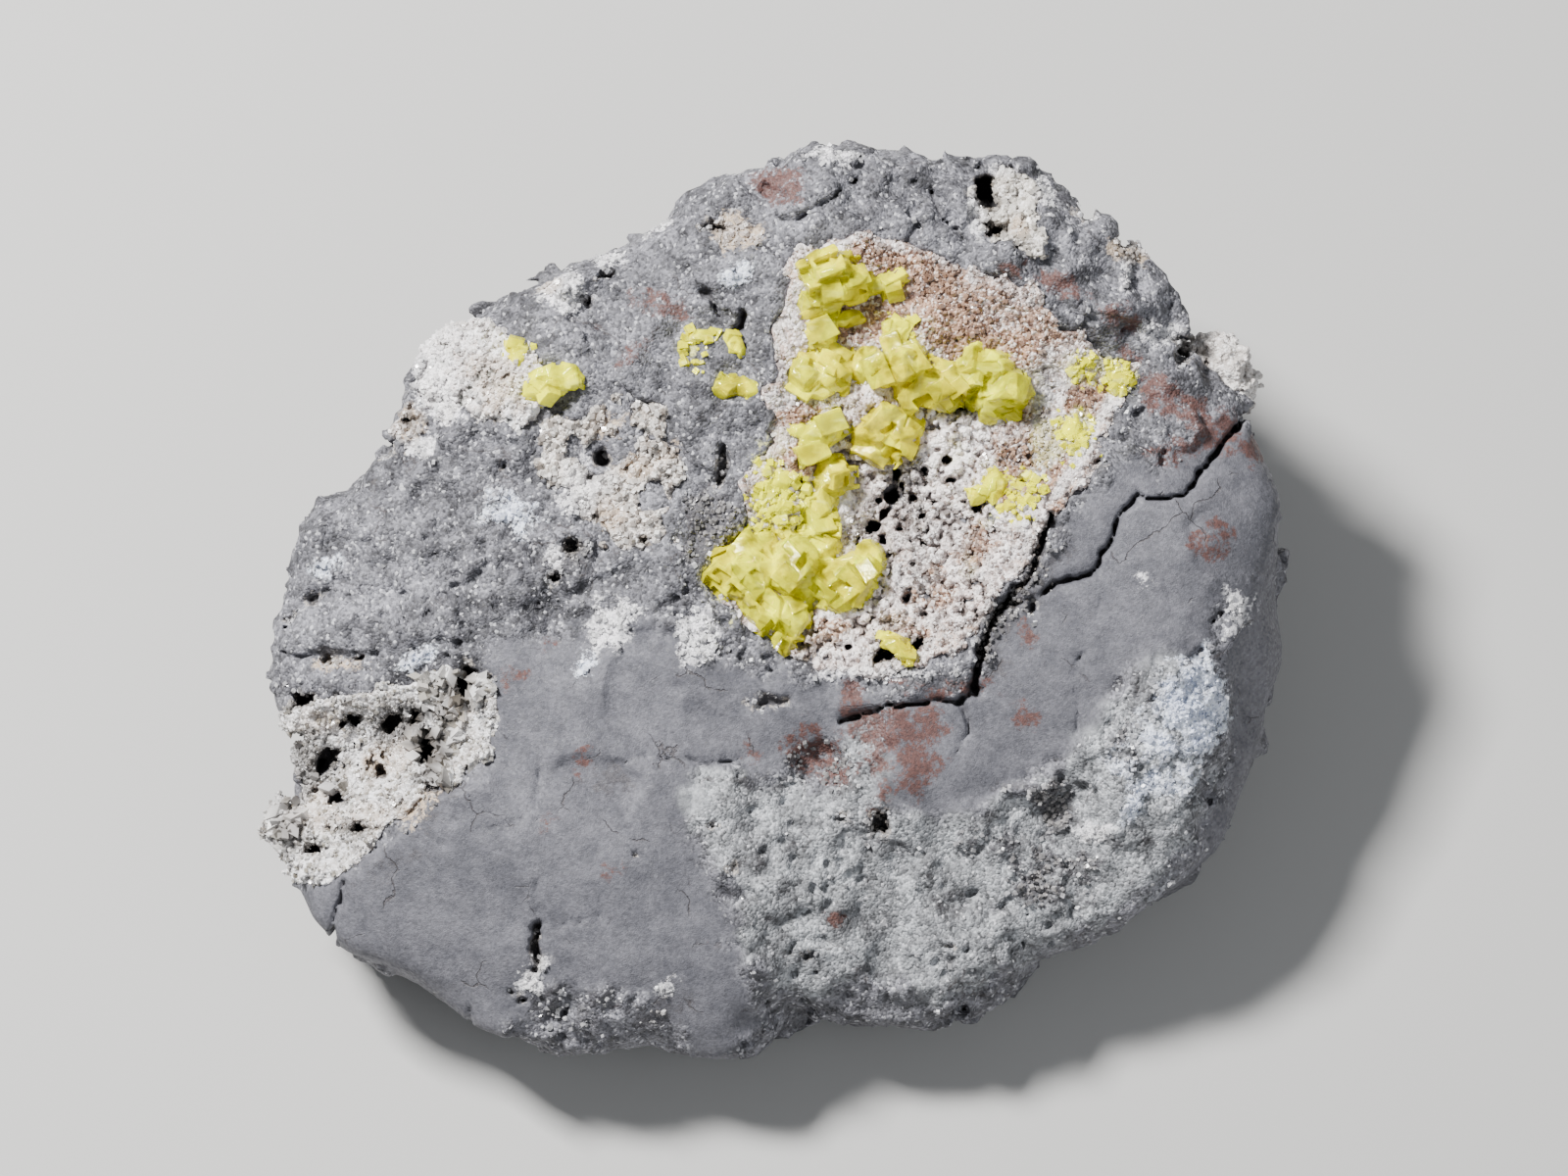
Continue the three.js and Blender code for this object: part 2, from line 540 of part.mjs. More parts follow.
// What the sulfur may not reach into: all that it grew on, raised by the gap, and then each group before it.
let taken = matrix.translate([0, 0, GAP]);
for (const [name, crust] of crusts) {
  const calcite = new THREE.MeshStandardMaterial({ color: crust.colour, roughness: 0.6, metalness: 0 });
  const solid = largest(crustSolid(crust));
  specimen.add(mineral(name, solid, calcite));
  taken = taken.add(solid.translate([0, 0, GAP])).add(bedSolid(crust));
}
for (const [name, crystals] of Object.entries(SULFUR)) {
  specimen.add(mineral(name, largest(clusterSolid(crystals).subtract(taken)), yellow));
  taken = taken.add(clusterSolid(crystals, GAP));
}

// Put the middle of the bounding box's underside at the origin.
specimen.updateMatrixWorld(true);
const bounds = new THREE.Box3().setFromObject(specimen, true);
const middle = bounds.getCenter(new THREE.Vector3());
specimen.position.set(-middle.x, -middle.y, -bounds.min.z);

const model = new THREE.Group();
model.add(specimen);

export default model;
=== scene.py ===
"""Sulfur crystals on their limestone matrix: the visible surfaces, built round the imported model.

Lengths are millimetres in the face frame until a mesh is made: u to the right across the mineral face, v up
it, w out of it. to_world() turns a face-frame point into the model's frame, in metres.
"""

import math

import bpy
import numpy as np
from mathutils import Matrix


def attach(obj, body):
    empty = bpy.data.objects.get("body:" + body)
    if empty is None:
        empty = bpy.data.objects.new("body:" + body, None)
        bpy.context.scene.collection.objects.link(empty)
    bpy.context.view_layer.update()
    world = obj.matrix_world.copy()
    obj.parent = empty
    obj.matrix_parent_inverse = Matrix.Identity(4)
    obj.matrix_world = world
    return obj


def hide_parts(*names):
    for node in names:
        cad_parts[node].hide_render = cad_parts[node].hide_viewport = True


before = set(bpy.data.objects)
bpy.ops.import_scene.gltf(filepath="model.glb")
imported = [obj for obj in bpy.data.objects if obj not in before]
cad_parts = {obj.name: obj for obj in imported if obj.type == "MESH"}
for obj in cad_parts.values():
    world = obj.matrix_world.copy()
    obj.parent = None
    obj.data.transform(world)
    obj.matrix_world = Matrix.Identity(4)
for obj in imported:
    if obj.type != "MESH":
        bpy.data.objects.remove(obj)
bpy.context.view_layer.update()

import openvdb
from mathutils import Vector

# ------------------------------------------------------------------ the face frame

MM = 0.001
FACE_TILT = math.radians(20)  # how far the mineral face leans from level
FACE_ORIGIN = np.array([-0.778, -6.731, 58.0])  # the middle of the face in the model's frame, mm
FACE_AXES = np.array([
    [1, 0, 0],
    [0, math.cos(FACE_TILT), math.sin(FACE_TILT)],
    [0, -math.sin(FACE_TILT), math.cos(FACE_TILT)],
])  # rows are u, v and w


def to_world(points):
    """Face-frame millimetres to the model's frame in metres."""
    return (points @ FACE_AXES + FACE_ORIGIN) * MM


def to_face(points):
    """The model's frame in metres to face-frame millimetres."""
    return (points / MM - FACE_ORIGIN) @ FACE_AXES.T


def node_mesh(name):
    """Vertices in the face frame and triangles of a CAD node."""
    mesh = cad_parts[name].data
    mesh.calc_loop_triangles()
    points = np.zeros(len(mesh.vertices) * 3)
    mesh.vertices.foreach_get("co", points)
    triangles = np.zeros(len(mesh.loop_triangles) * 3, np.int32)
    mesh.loop_triangles.foreach_get("vertices", triangles)
    return to_face(points.reshape(-1, 3)), triangles.reshape(-1, 3)


# ------------------------------------------------------------------ noise

LATTICE = 64
rng = np.random.default_rng(7)
lattice = rng.uniform(-1, 1, (LATTICE, LATTICE, LATTICE)).astype(np.float32)
cell_points = rng.uniform(0, 1, (LATTICE, LATTICE, LATTICE, 3)).astype(np.float32)
cell_normals = rng.normal(0, 1, (LATTICE, LATTICE, LATTICE, 3)).astype(np.float32)
# An even turn between octaves keeps the lattice from showing.
TURN = np.array([[0.36, 0.48, -0.8], [-0.8, 0.6, 0.0], [0.48, 0.64, 0.6]], np.float32)


def sample_grid(grid, q):
    """Trilinear values of a 3-D array at fractional indices q, kept inside the array."""
    top = np.array(grid.shape, np.float32) - 1.001
    q = np.clip(q, 0, top)
    i = q.astype(np.int32)
    f = q - i
    x, y, z = i[:, 0], i[:, 1], i[:, 2]
    fx, fy, fz = f[:, 0], f[:, 1], f[:, 2]
    out = 0
    for dx, wx in ((0, 1 - fx), (1, fx)):
        for dy, wy in ((0, 1 - fy), (1, fy)):
            pair = grid[x + dx, y + dy, z] * (1 - fz) + grid[x + dx, y + dy, z + 1] * fz
            out = out + wx * wy * pair
    return out


def noise(p, wavelength, seed=0):
    """Smooth noise from -1 to 1."""
    q = (p @ TURN) / wavelength + np.float32(13.7 * seed + 900)
    base = np.floor(q)
    f = q - base
    f = f * f * f * (f * (f * 6 - 15) + 10)
    i = base.astype(np.int32) % LATTICE
    j = (i + 1) % LATTICE
    x, y, z = i.T
    x1, y1, z1 = j.T
    fx, fy, fz = f.T
    a = lattice[x, y, z] * (1 - fx) + lattice[x1, y, z] * fx
    b = lattice[x, y1, z] * (1 - fx) + lattice[x1, y1, z] * fx
    c = lattice[x, y, z1] * (1 - fx) + lattice[x1, y, z1] * fx
    d = lattice[x, y1, z1] * (1 - fx) + lattice[x1, y1, z1] * fx
    return (a * (1 - fy) + b * fy) * (1 - fz) + (c * (1 - fy) + d * fy) * fz


def octaves(p, wavelength, count, gain=0.5, seed=0):
    total = 0
    height = 1.0
    for k in range(count):
        total = total + height * noise(p, wavelength / 2**k, seed + k)
        height *= gain
    return total


def cells(p, size, seed=0):
    """Points scattered one to a cell: distance in cells to the nearest, offset from it, and its cell."""
    q = p / size + np.float32(17.3 * seed + 700)
    base = np.floor(q).astype(np.int32)
    nearest = np.full(len(p), 9.0, np.float32)
    offset = np.zeros((len(p), 3), np.float32)
    owner = np.zeros((len(p), 3), np.int32)
    for dx in (-1, 0, 1):
        for dy in (-1, 0, 1):
            for dz in (-1, 0, 1):
                cell = base + np.array([dx, dy, dz], np.int32)
                i = cell % LATTICE
                away = q - cell - cell_points[i[:, 0], i[:, 1], i[:, 2]]
                distance = np.sqrt((away * away).sum(1))
                closer = distance < nearest
                nearest = np.where(closer, distance, nearest)
                offset[closer] = away[closer]
                owner[closer] = i[closer]
    return nearest, offset, owner


def of_cell(table, owner):
    """What a table holds for each point's cell."""
    return table[owner[:, 0], owner[:, 1], owner[:, 2]]


def cell_tilt(offset, owner):
    """Height of a facet through each cell's point, tilted its own way."""
    return (offset * of_cell(cell_normals, owner)).sum(1)


def smooth(low, high, x):
    """0 below low, 1 above high, with an even ease between them. low may be the higher."""
    t = np.clip((x - low) / (high - low), 0, 1)
    return t * t * (3 - 2 * t)


# ------------------------------------------------------------------ charts over the face

CHART_STEP = 0.4  # mm
CHART_LOW = np.array([-100.0, -92.0])
CHART_SIZE = (500, 460)


def chart_points():
    u = CHART_LOW[0] + CHART_STEP * np.arange(CHART_SIZE[0])
    v = CHART_LOW[1] + CHART_STEP * np.arange(CHART_SIZE[1])
    return np.stack(np.meshgrid(u, v, indexing="ij"), -1).astype(np.float32)


chart_uv = chart_points()
flat_uv = chart_uv.reshape(-1, 2)
flat_uvw = np.c_[flat_uv, np.zeros(len(flat_uv), np.float32)]


def read_chart(chart, p):
    """Bilinear values of a chart at points' u and v."""
    q = (p[:, :2] - CHART_LOW) / CHART_STEP
    q = np.clip(q, 0, np.array(CHART_SIZE) - 1.001).astype(np.float32)
    i = q.astype(np.int32)
    f = q - i
    x, y = i[:, 0], i[:, 1]
    low = chart[x, y] * (1 - f[:, 0]) + chart[x + 1, y] * f[:, 0]
    high = chart[x, y + 1] * (1 - f[:, 0]) + chart[x + 1, y + 1] * f[:, 0]
    return low * (1 - f[:, 1]) + high * f[:, 1]


def distance_to_line(uv, line):
    """Distance to an open line, its side (left is positive), and how far along it the nearest point is."""
    best = np.full(len(uv), 1e9, np.float32)
    side = np.zeros(len(uv), np.float32)
    along = np.zeros(len(uv), np.float32)
    run = 0.0
    for a, b in zip(line[:-1], line[1:]):
        a, b = np.array(a[:2], np.float32), np.array(b[:2], np.float32)
        d = b - a
        length = float(np.hypot(*d))
        t = np.clip(((uv - a) @ d) / length**2, 0, 1)
        away = uv - a - t[:, None] * d
        distance = np.hypot(away[:, 0], away[:, 1])
        nearer = distance < best
        best = np.where(nearer, distance, best)
        turn = np.sign(d[0] * away[:, 1] - d[1] * away[:, 0])
        side = np.where(nearer, turn, side)
        along = np.where(nearer, run + t * length, along)
        run += length
    return best, side, along / run


def inside_distance(uv, outline):
    """Signed distance to a closed outline, positive inside."""
    closed = list(outline) + [outline[0]]
    distance, _, _ = distance_to_line(uv, closed)
    inside = np.zeros(len(uv), bool)
    for a, b in zip(closed[:-1], closed[1:]):
        crosses = (a[1] > uv[:, 1]) != (b[1] > uv[:, 1])
        if a[1] != b[1]:
            at_u = a[0] + (uv[:, 1] - a[1]) * (b[0] - a[0]) / (b[1] - a[1])
            inside ^= crosses & (uv[:, 0] < at_u)
    return np.where(inside, distance, -distance)


def ragged(wavelength, amount, seed):
    """Noise over the chart that frays an outline."""
    return amount * octaves(flat_uvw, wavelength, 3, 0.6, seed)


def area_chart(outline, softness=1.5, fray=1.6, seed=0):
    """1 inside an outline, 0 outside, with a frayed edge."""
    d = inside_distance(flat_uv, outline) + ragged(5, fray, seed)
    return smooth(-softness, softness, d).reshape(CHART_SIZE)


def ellipse(uv, u, v, a, b, turn):
    """Which points are near an ellipse, and how far out they are: 1 on its edge. turn is in degrees."""
    c, s = math.cos(math.radians(turn)), math.sin(math.radians(turn))
    du, dv = uv[:, 0] - u, uv[:, 1] - v
    near = (np.abs(du) < 2 * (a + b)) & (np.abs(dv) < 2 * (a + b))
    x, y = (c * du[near] + s * dv[near]) / a, (c * dv[near] - s * du[near]) / b
    return near, np.hypot(x, y)


def spot_chart(spots, fray=0.35, seed=0, softness=0.35):
    """Strongest of several frayed ellipses: u, v, half width, half height, turn in degrees, strength."""
    total = np.zeros(len(flat_uv), np.float32)
    edge = octaves(flat_uvw, 4.5, 3, 0.6, seed) * fray
    for *place, strength in spots:
        near, out = ellipse(flat_uv, *place)
        level = strength * smooth(1 + softness, 1 - softness, out + edge[near])
        total[near] = np.maximum(total[near], level)
    return total.reshape(CHART_SIZE)


# ------------------------------------------------------------------ what lies where on the face

MAIN_CRUST = [
    (6, 62), (15, 64), (28, 61), (36, 57.5), (47, 54), (52, 48), (58, 43.5), (64, 42), (63, 36), (58, 28),
    (54, 20), (50, 14), (45, 7), (40, 0), (36, -7), (30, -10.5), (20, -12), (8, -11), (1, -9), (-5, -3),
    (-10.5, 2), (-11, 8), (-6, 12), (-4.5, 20), (-2, 26), (0, 34), (1, 42), (2, 50), (3.5, 58),
]
LEFT_VUG = [
    (-93, -16), (-85, -17), (-70, -16.5), (-63, -14), (-57, -11), (-52, -11.5), (-48.5, -16), (-49, -26),
    (-53, -31), (-59, -32), (-63, -36), (-70, -43), (-77, -48.5), (-86, -50), (-94, -44), (-94, -30),
]
UPPER_LEFT_CRUST = [
    (-64, 36), (-62, 44), (-57, 50), (-49, 49), (-43, 45), (-39.5, 41), (-40, 35), (-46, 31.5), (-55, 32.5),
    (-60, 33),
]
CENTRE_LEFT_CRUST = [
    (-38, 33), (-32, 36.5), (-25, 35.5), (-18, 30), (-15.5, 24), (-16, 17), (-20, 10.5), (-27, 9),
    (-33, 13), (-38, 19), (-40, 27),
]
TOP_RIGHT_LINING = [
    (35, 71), (37, 75), (42, 75.5), (47, 72), (49, 67), (46, 61.5), (40, 61), (36, 65),
]
SMOOTH_LEFT = [
    (-50, -10), (-42, -6.5), (-34, -5), (-27, -5), (-22, -3), (-17, -6), (-12, -11), (-2, -13), (8, -13.5),
    (18, -17), (12, -24), (-2, -29), (-13, -30), (-14, -42), (-8, -52), (-5, -63), (-2, -75), (-10, -81),
    (-26, -67), (-38, -67), (-48, -77), (-60, -72), (-80, -60), (-88, -50), (-77, -49), (-70, -43),
    (-60, -33), (-51, -30), (-48, -20),
]
SMOOTH_RIGHT = [
    (37, -16), (38.5, -7), (43, 0), (50, 9), (56, 18), (61, 23), (70, 23), (80, 32), (92, 28), (93, 4),
    (80, 2), (77, -8), (70, -10), (62, -13), (55, -23), (46, -31), (36, -35), (27, -37), (20, -34),
    (22, -20), (30, -15),
]
SMOOTH_FLANK = [
    (80, 3), (79, -8), (82, -20), (81, -32), (75, -46), (68, -55), (90, -60), (97, -20), (97, 6),
]
SUGARY = [
    (-14, -30), (-2, -30), (10, -33), (11, -22), (18, -21), (19, -33), (28, -38), (40, -36), (48, -33),
    (56, -24), (64, -14), (72, -11), (78, -18), (77, -36), (70, -50), (56, -58), (44, -66), (30, -69),
    (12, -68), (2, -66), (-4, -62), (-8, -50), (-14, -40),
]

# Coloured spots: u, v, half width, half height, turn in degrees, strength.
RED_STAINS = [
    (-21, 52.5, 5, 1.4, -15, 0.8), (-31, 48, 1.5, 1.2, 0, 0.8), (-25, 43, 2.5, 1.2, 30, 0.5),
    (0.5, 72.5, 4, 2.2, -10, 0.9), (70, 36, 8, 2.6, -35, 0.8), (77, 30, 4, 3.2, -20, 0.8),
    (85, 27, 2.5, 2, 0, 0.8), (77, 11, 3, 2.6, 20, 0.6), (45, -6.5, 1, 3, 5, 0.9),
    (45, -20, 1.6, 1.4, 0, 0.8), (14, -16.5, 1.4, 2.6, 0, 0.9), (22, -13.5, 1.6, 0.9, 0, 0.6),
    (32, -15, 4.5, 1.8, 10, 0.55), (24, -22, 6, 3.4, 10, 0.85), (25, -30, 3.6, 6, -25, 0.85),
    (20, -24, 3, 3, 0, 0.8), (-3, -27, 1.6, 1.1, 0, 0.8), (-45, -13.5, 2.2, 1.6, 30, 0.7),
    (-33, -28, 1, 1.6, 0, 0.9), (-38.5, -38.5, 1.6, 1, 0, 0.6), (-28, -47, 2, 1.8, 0, 0.7),
    (-38, -7, 1.4, 1, 0, 0.5), (52, 54.5, 5, 1.2, -25, 0.8), (61, 50, 5, 1.3, -20, 0.6),
    (43, 57, 3, 1, -30, 0.6), (8, -27.5, 5, 3, -30, 0.75), (70, 27, 3.5, 2.5, 20, 0.5),
    (11, -56, 1.2, 1, 0, 0.8), (-10, -60, 1, 0.8, 0, 0.6), (33, 52, 9, 2.6, -25, 0.3),
    (63, 43, 2.5, 1.2, -40, 0.7),
]
WHITE_SPOTS = [
    (-59, 40, 4.5, 6, 20, 1), (-61, 27.5, 2.6, 1.7, 0, 0.9), (-33, 20, 4.5, 4.5, 0, 0.9),
    (-29, -4.5, 4, 3.6, 35, 0.85), (-12.5, -6.5, 4.4, 3.4, -20, 0.75), (-38, 8, 1.6, 1.4, 0, 0.8),
    (-43, -67, 2.4, 2.2, 0, 1), (-40, -63.5, 1.6, 1.2, 0, 0.8), (82, -1.5, 3, 4, 0, 0.8),
    (58, -41, 3, 1.4, 0, 0.9), (-57, 47, 4, 1.8, 0, 0.8), (62, 58, 2.4, 2.6, 0, 0.7),
    (69, 47, 2.6, 1.8, 0, 0.6), (40, 76, 4, 1.2, -10, 0.8), (48, 72, 1.5, 3, 10, 0.7),
    (36, 68, 1.2, 4.5, 0, 0.8), (-22, 66, 5, 1.6, 20, 0.6), (-19, -68, 1.4, 1, 0, 0.9),
    (12, 78.5, 6, 1.4, 0, 0.55), (57, 31, 1.1, 6, -35, 0.9), (52, 22, 0.9, 6, -35, 0.8),
    (65, 4, 1.6, 1.2, 0, 0.3), (-36, 55, 3.5, 3, 20, 0.7), (-29, 60, 3, 2, 20, 0.7),
    (18, -12.5, 12, 1, 0, 0.7),
]
BLUE_SPOTS = [
    (-46, 15.5, 4.5, 3, -20, 0.7), (-79, 6, 3, 1.2, 20, 0.6), (-62, -10, 3.4, 1, 25, 0.7),
    (-33, -12, 1.6, 2.2, -20, 0.7), (-7, 57, 2.6, 1.4, 10, 0.7), (70, -20, 5, 7, -25, 1),
    (76, -18, 3, 5, 10, 0.8), (65, -33, 1.6, 5.5, -40, 0.75), (60, -28, 3, 3, 0, 0.5),
    (70, -31, 3.6, 3, 0, 0.6),
]
# Painted shade: darker spots, most of them laid over the holes, hollows and cracks.
PAINTED_SHADE_SPOTS = [
    (-10, 14, 5, 5, 0, 0.85), (-36, 8.5, 4, 2.6, 20, 0.7), (-28.5, -31, 3, 3.4, -20, 0.7),
    (48, -36, 7, 4, -20, 0.85), (47, -49, 6, 4.4, -15, 0.8), (-19, -73, 5, 2.8, 20, 0.65),
    (-33, -72, 7, 3.4, 0, 0.35), (7, -27.5, 5.5, 4, -30, 0.75), (54, -45, 5, 2.5, 20, 0.6),
    (63, -24, 2.5, 6, -40, 0.5), (38, -42, 6, 2.4, -15, 0.4), (19, -39, 2, 3, 0, 0.6),
    (-66.5, -21, 6, 4, 0, 0.7), (-83, -28, 4, 6, 0, 0.7), (-60, -28, 4, 7, 15, 0.75),
    (-85, -41, 4, 4, 0, 0.6), (-73, -41, 5, 3, 20, 0.5), (-55, -17, 4, 4, 0, 0.5), (-77, -34, 3, 3, 0, 0.4),
    (-86, -18, 3, 3, 0, 0.6), (-68, -47, 5, 1.6, 35, 0.4), (-60, -37, 3, 2, 0, 0.4),
    (22, 19, 5, 7, 20, 0.65), (19, 12, 4, 5, 0, 0.55), (29, 14, 4, 5, -20, 0.4), (26, 6, 5, 4, 0, 0.35),
    (33, 34, 2, 2.4, 0, 0.6), (20, -9, 3, 2, 0, 0.6), (46, 4, 2.5, 9, -30, 0.7),
    (38.5, -5, 2.5, 8, 10, 0.6),
]
TAN_SPOTS = [
    (-48, 37.5, 5, 4, 0, 0.9), (-24, 24, 2.6, 2.2, 0, 0.8), (-18.5, 26, 2.2, 2, 0, 0.7),
    (-28, 15, 3, 2, 0, 0.7), (-39, 55.5, 1.8, 1.2, 0, 0.9), (-6, 64.5, 4, 2.2, -20, 0.9),
    (43, 66, 2, 1.8, 0, 0.9), (62, 61, 3, 2, 0, 0.8), (-29, 31, 3.5, 2.4, 0, 0.5), (7, -6, 4, 2.2, 0, 0.7),
    (17, 35.6, 6, 1.8, 8, 0.55), (12.5, 26, 2.5, 2, 0, 0.6), (19, -4.5, 5, 1.6, 10, 0.5),
    (11, 10, 2, 3, 0, 0.5), (28, 29, 3, 2, 0, 0.35), (-81, -38, 4, 3, 0, 0.45), (-67, -28, 5, 3, 30, 0.6),
    (-62, -36, 4, 2, 40, 0.6), (-50, 41, 6, 2.2, 10, 0.7), (-79, -22, 4, 2, 0, 0.5),
    (-72, -38, 4, 3, 0, 0.5), (-55, -20, 3, 3, 0, 0.5), (-64, 30, 3, 3, 30, 0.7), (76, 44, 3, 2, 0, 0.3),
    (-75, -11, 4, 1, 0, 0.5),
]
YELLOW_DUST = [
    (54.5, 40.5, 3, 2, 0, 0.9), (60.5, 39.5, 2.6, 2.6, 0, 0.8), (53.4, 29.5, 2, 3.4, -10, 0.9),
    (48, 27, 2.4, 3, 0, 0.7), (43.5, 18, 2, 4.6, -25, 0.7), (46.5, 37.5, 1.8, 2.8, -20, 0.5),
    (38, 14, 1.6, 1.2, 0, 0.5), (1, 20, 3.2, 5.6, -10, 0.95), (2, 27, 1.8, 2, 0, 0.5),
    (4.5, 12, 4, 1.8, 10, 0.7), (32, 26.5, 1.6, 2.4, 0, 0.45), (-14, 43.5, 2.2, 1, 0, 0.5),
    (-45, 36.5, 2.5, 2, 0, 0.4), (9, 8, 6, 2, 0, 0.4), (34, 6, 1.6, 2, 0, 0.4), (25, 48, 3, 1.6, 0, 0.4),
    (2, 4, 10, 7, 0, 0.35),
]
# The knobbly pinkish white part of the main crust; the rest of it is tan grains.
KNOBBLY = [
    (25, 20, 19, 15, 0, 1), (20, -2, 14, 9, 0, 1), (33, 4, 8, 12, -30, 0.9), (19, 35.5, 8, 3.4, -10, 0.9),
    (3, 15, 3.4, 3.6, 0, 0.8), (7, -6, 8, 4, 0, 0.8), (36, 30, 9, 7, 0, 0.75),
]
BROWN = [
    (35, 47, 11, 4.6, -12, 1), (20, 50, 9, 5, 0, 0.8), (32, 53.5, 12, 4.2, -20, 0.7),
    (22, 58, 8, 3, -10, 0.6), (5, 33, 3.6, 2.6, 20, 0.9), (15, 49, 3, 2.4, 0, 0.6),
    (4.5, 25, 3.2, 3, 0, 0.6), (44, 35, 3.6, 3.4, 0, 0.4), (57, 35.5, 3.4, 3.4, 0, 0.8),
    (44, 24, 4.4, 6, 0, 0.7), (50, 20, 3, 4, -20, 0.4), (29, 1, 5, 3.4, 20, 0.35),
    (36, 10, 3.5, 5, -20, 0.35), (48, 46, 3, 4, 0, 0.4), (10, -5, 4, 2, 0, 0.45), (24, -5, 4, 2.4, 0, 0.3),
]
GREY_BAND = [
    (47.5, 32, 2.4, 15, -4, 1), (42, 27, 4, 6, 0, 0.5),
    (40, 49, 6, 2.4, 0, 0.25), (40, 52, 12, 3, -20, 0.3),
]

# Where the left vug is lined with dogteeth.
TEETH = [
    (-56, -15.5, 4, 3.4, 20, 1), (-59, -26, 3, 4.5, 15, 0.9), (-86, -39, 2.4, 4, 0, 0.25),
]

# Bare stone inside the centre-left crust.
GREY_ISLANDS = [
    (-27.5, 27, 4.6, 4.2, 20, 1), (-21, 18, 2.4, 3.4, 0, 0.8), (-35, 27, 2, 2.6, 0, 0.8),
    (-27, 33, 2, 2.6, 0, 0.7), (-37, 17, 2.4, 3, 0, 0.8),
]

HOLE_WALL = (1.15, 0.45)  # where a hole's wall begins and ends, in shares of its half width
# Holes: u, v, half width, half height, turn in degrees, depth in mm.
HOLES = [
    (22, 22.5, 0.9, 1.5, 10, 6), (21.3, 18.6, 1.1, 1.3, -20, 6), (23.4, 20, 0.6, 0.8, 0, 5),
    (17.5, 13.5, 1.6, 0.8, 15, 5), (20, 15.4, 0.9, 0.7, 30, 5), (24, 25.5, 1.2, 0.9, 0, 5),
    (31, 25, 0.9, 0.8, 0, 4), (25, 18, 0.7, 0.9, 0, 5), (18.6, 17.6, 0.7, 0.6, 0, 4),
    (23, 12.6, 0.8, 0.6, 20, 4), (15, 10.4, 0.8, 0.6, 0, 4), (26.6, 10, 0.6, 0.8, 0, 4),
    (19.4, 10.8, 0.6, 0.9, 0, 4), (28.6, 17.4, 0.7, 0.6, 0, 4), (24.6, 6.6, 0.7, 0.5, 0, 4),
    (16.4, 20.6, 0.6, 0.6, 0, 4), (31, 21, 0.9, 0.9, 0, 4), (33, 34.6, 1.2, 1.8, 10, 6),
    (40, 33, 1.2, 0.9, 0, 4.5), (4, -7.2, 1.5, 1.2, 0, 5), (13, -8, 1.1, 0.8, 0, 4),
    (20, -9, 1.3, 1.7, 0, 6), (25.5, -7.5, 1.6, 1.1, 20, 5), (57.5, 24.5, 1.3, 1.1, 20, 3),
    (27, 22, 0.8, 1.2, 0, 4), (26, 15, 0.9, 0.9, 0, 4), (21, 8, 1.1, 1, 0, 4), (30, 12, 0.8, 1, 0, 3),
    (17, 6, 0.9, 0.7, 0, 4), (24, 1, 0.9, 0.7, 0, 3), (34, 17.5, 1.1, 0.9, 0, 4),
    (36.5, 16.4, 1.3, 0.9, 0, 4), (11.5, 34, 0.8, 0.6, 0, 3), (20, 32.5, 1, 0.7, 0, 3),
    (7, 43.6, 1.3, 0.8, 0, 3), (-53.5, -14.5, 3.4, 3, 40, 9), (-60, -27, 2.2, 4.4, 15, 8),
    (-73, -40, 1.6, 1.1, 20, 6), (-79, -28, 2.6, 2.2, 0, 5), (-74, -20.5, 2.4, 1.4, 0, 5),
    (-82, -17.6, 2, 1.2, 0, 5), (-66.5, -22, 1.8, 2.2, 0, 4), (-85, -34, 1.6, 2.4, 0, 4),
    (-77, -35, 2, 1.6, 0, 4), (-81, -43.5, 1.8, 1.2, 0, 4), (-69, -30, 1.4, 1.2, 0, 4),
    (-57, -21.5, 1.6, 2.6, 0, 5), (-62, -20, 1.6, 1.2, 0, 4), (-84, -24, 1.6, 1.2, 0, 4),
    (-78, -10.5, 1.6, 0.7, 0, 3), (-72.5, -10, 1.4, 0.6, 0, 3), (-80, 0.5, 2, 0.6, 20, 3),
    (-85, -3, 1.6, 0.5, 25, 3), (-68, 27, 1.4, 1.6, 0, 4), (-63.5, 32, 1.4, 1, 0, 3), (-33, 53, 1, 1, 0, 3),
    (-28.5, 57.5, 1.2, 0.8, 0, 3), (-9, 65.3, 2.2, 1, -10, 4), (-30, 25, 1.4, 1.2, 0, 5),
    (-31.5, 22, 1.2, 0.8, 0, 3), (-22, 10.5, 1, 1.2, 0, 5), (-18, 22, 0.9, 0.8, 0, 3),
    (-31, 15, 0.8, 0.8, 0, 3), (-47, 24, 0.8, 0.7, 0, 2.5), (-35, 9.5, 2, 1.2, 20, 4),
    (-38, 4, 1.8, 0.8, 20, 3), (-8.6, 23, 0.9, 2.6, -12, 4), (38, 71.5, 2.2, 3, 0, 6),
    (39.5, 65.5, 2, 1.4, 0, 5), (44, 62.5, 1.6, 0.8, 0, 3), (55, 68.5, 2, 1.6, 20, 4),
    (62, 63.5, 1.2, 0.7, -20, 2.5), (-1, -17.5, 3.4, 1.2, 8, 2.4), (-10, -39, 0.9, 1, 0, 2),
    (-7, -46, 1, 1.4, 10, 2), (19, -39, 1.6, 2.6, 15, 4), (-24, -44, 0.7, 0.6, 0, 1.5),
    (-45, -69, 1.5, 1.1, 0, 4), (-41.3, -61, 0.8, 3.4, 6, 4), (72, 44, 1.6, 2.6, 0, 6),
    (29, 26.5, 0.7, 0.7, 0, 3), (14, 0.5, 0.8, 0.6, 0, 3), (27, -2.5, 0.8, 0.6, 0, 3),
    (23, 29, 0.9, 0.7, 0, 4), (45.5, -1, 0.8, 2, 10, 3), (12.5, -38, 1.2, 0.8, 0, 2),
    (31, -60, 1.2, 0.6, 0, 1.6), (6, -62, 1, 0.8, 0, 2),
]

